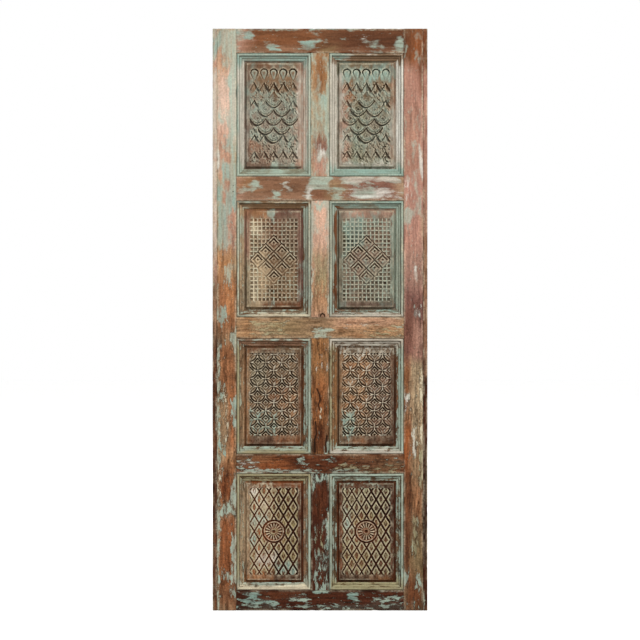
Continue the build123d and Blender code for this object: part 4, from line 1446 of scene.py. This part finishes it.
def carved_wood(name, groove_dirt_and_shade):
    """Wood with paint left in patches, and dirt and painted shade in the cuts."""
    return worn_paint(name, (1, 1, panel_stretch), panel_flake_size, panel_dirt_and_shade, 1.0, groove_dirt_and_shade)


def add_uprights():
    """The stiles and the edge strips, from end to end of the door."""
    seeds = {"stile": stile_seed, "edge_strip": strip_seed}
    woods = {part: upright_wood(part + "_wood") for part in seeds}
    for (number, side), part in itertools.product(enumerate(sides), seeds):
        node = f"{side}_{part}"
        add_member(node, *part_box(node), z_axis, woods[part], part + "_wood", seeds[part] + number, True)


def add_rails():
    """The five rails, between the inner faces of the stiles."""
    material = level_wood("rail_wood")
    inner_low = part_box("left_stile")[1][0]
    inner_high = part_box("right_stile")[0][0]
    for number, node in enumerate(rails):
        low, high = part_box(node)
        corners = (inner_low, low[1], low[2]), (inner_high, high[1], high[2])
        add_member(node, *corners, x_axis, material, "rail_wood", rail_seed + number)


def add_muntins():
    """The four muntins, between the faces of the rails that they meet."""
    material = upright_wood("muntin_wood")
    for number, (row, (below, above)) in enumerate(rows.items()):
        node = row + "_muntin"
        low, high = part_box(node)
        corners = (low[0], low[1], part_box(below)[1][2]), (high[0], high[1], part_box(above)[0][2])
        add_member(node, *corners, z_axis, material, "muntin_wood", muntin_seed + number)


def add_panels():
    """The eight carved panels, each row with a finish of its own, and the mouldings round them."""
    upright = moulding_wood("upright_moulding_wood", True)
    level = moulding_wood("level_moulding_wood", False)
    for number, row in enumerate(rows):
        panel = carved_wood(row + "_panel_wood", groove_dirt_and_shade_by_row[row])
        for place, side in enumerate(sides):
            add_panel(row, side, panel, panel_seed + seeds_per_row * number + panel_seeds_per_side * place)
            seed = moulding_seed + seeds_per_row * number + moulding_seeds_per_side * place
            for strip, edge_name in enumerate(("bottom", "left", "top", "right")):
                add_moulding(row, side, edge_name, upright if edge_name in sides else level, seed + strip)


def seen_rays(tree, *kinds):
    """One where the camera sees a thing by one of these kinds of ray."""
    path = add_node(tree, "ShaderNodeLightPath")
    seen = path.outputs["Is Camera Ray"]
    for kind in kinds:
        seen = calculate(tree, "ADD", seen, path.outputs[kind])
    return seen


def add_floor():
    """A wide pale floor that shows white and keeps the door's shadow."""
    mesh = bpy.data.meshes.new("floor")
    corners = ((-1, -1), (1, -1), (1, 1), (-1, 1))
    floor_z = door_low.z - floor_gap
    mesh.from_pydata([(x * floor_half, y * floor_half, floor_z) for x, y in corners], [], [(0, 1, 2, 3)])
    floor = bpy.data.objects.new("floor", mesh)
    bpy.context.scene.collection.objects.link(floor)
    material = bpy.data.materials.new("pale_floor")
    material.use_nodes = True
    tree = material.node_tree
    shader = tree.nodes["Principled BSDF"]
    shader.inputs["Base Color"].default_value = floor_colour
    shader.inputs["Roughness"].default_value = floor_roughness
    shader.inputs["Emission Color"].default_value = white
    glow = spread(tree, seen_rays(tree, "Is Glossy Ray"), 0, 1, 0.0, floor_glow)
    tree.links.new(glow, shader.inputs["Emission Strength"])
    mesh.materials.append(material)


def add_sky():
    """Soft light from all round, white where the camera sees it."""
    world = bpy.data.worlds.new("studio")
    bpy.context.scene.world = world
    world.use_nodes = True
    tree = world.node_tree
    background = tree.nodes["Background"]
    background.inputs["Color"].default_value = white
    seen = seen_rays(tree, "Is Glossy Ray", "Is Transmission Ray")
    tree.links.new(spread(tree, seen, 0, 1, sky_strength, 1.0), background.inputs["Strength"])


def add_lamp(name, place, power, size):
    """A square area lamp aimed at the middle of the door."""
    data = bpy.data.lights.new(name, "AREA")
    data.energy = power
    data.size = size
    lamp = bpy.data.objects.new(name, data)
    lamp.location = place
    aim = door_middle - Vector(place)
    lamp.rotation_euler = aim.to_track_quat("-Z", "Y").to_euler()
    bpy.context.scene.collection.objects.link(lamp)


def far_place(direction):
    """A place for a lamp, out from the middle of the door."""
    return door_middle + lamp_distance * Vector(direction).normalized()


def add_camera():
    """A camera square on to the carved face, framed as the photograph is."""
    data = bpy.data.cameras.new("camera")
    data.sensor_width = sensor_width_mm
    frame_width = photo_width * metres_per_px
    distance = camera_distance + door_low.y
    data.lens = data.sensor_width * distance / frame_width
    camera = bpy.data.objects.new("camera", data)
    middle_x = (photo_width / 2 - door_middle_px) * metres_per_px
    middle_z = (door_foot_px - photo_width / 2) * metres_per_px
    camera.location = (middle_x, -camera_distance, middle_z)
    camera.rotation_euler = (math.pi / 2, 0, 0)
    bpy.context.scene.collection.objects.link(camera)
    bpy.context.scene.camera = camera


add_uprights()
add_rails()
add_muntins()
add_panels()
add_pegs(upright_wood("peg_wood"), peg_seed)
add_floor()
add_sky()
add_lamp("key", far_place(key_direction), key_power, lamp_size)
add_lamp("fill", fill_place, fill_power, fill_size)
add_lamp("back", far_place(back_direction), back_power, lamp_size)
add_camera()
bpy.context.scene.view_settings.view_transform = "Standard"
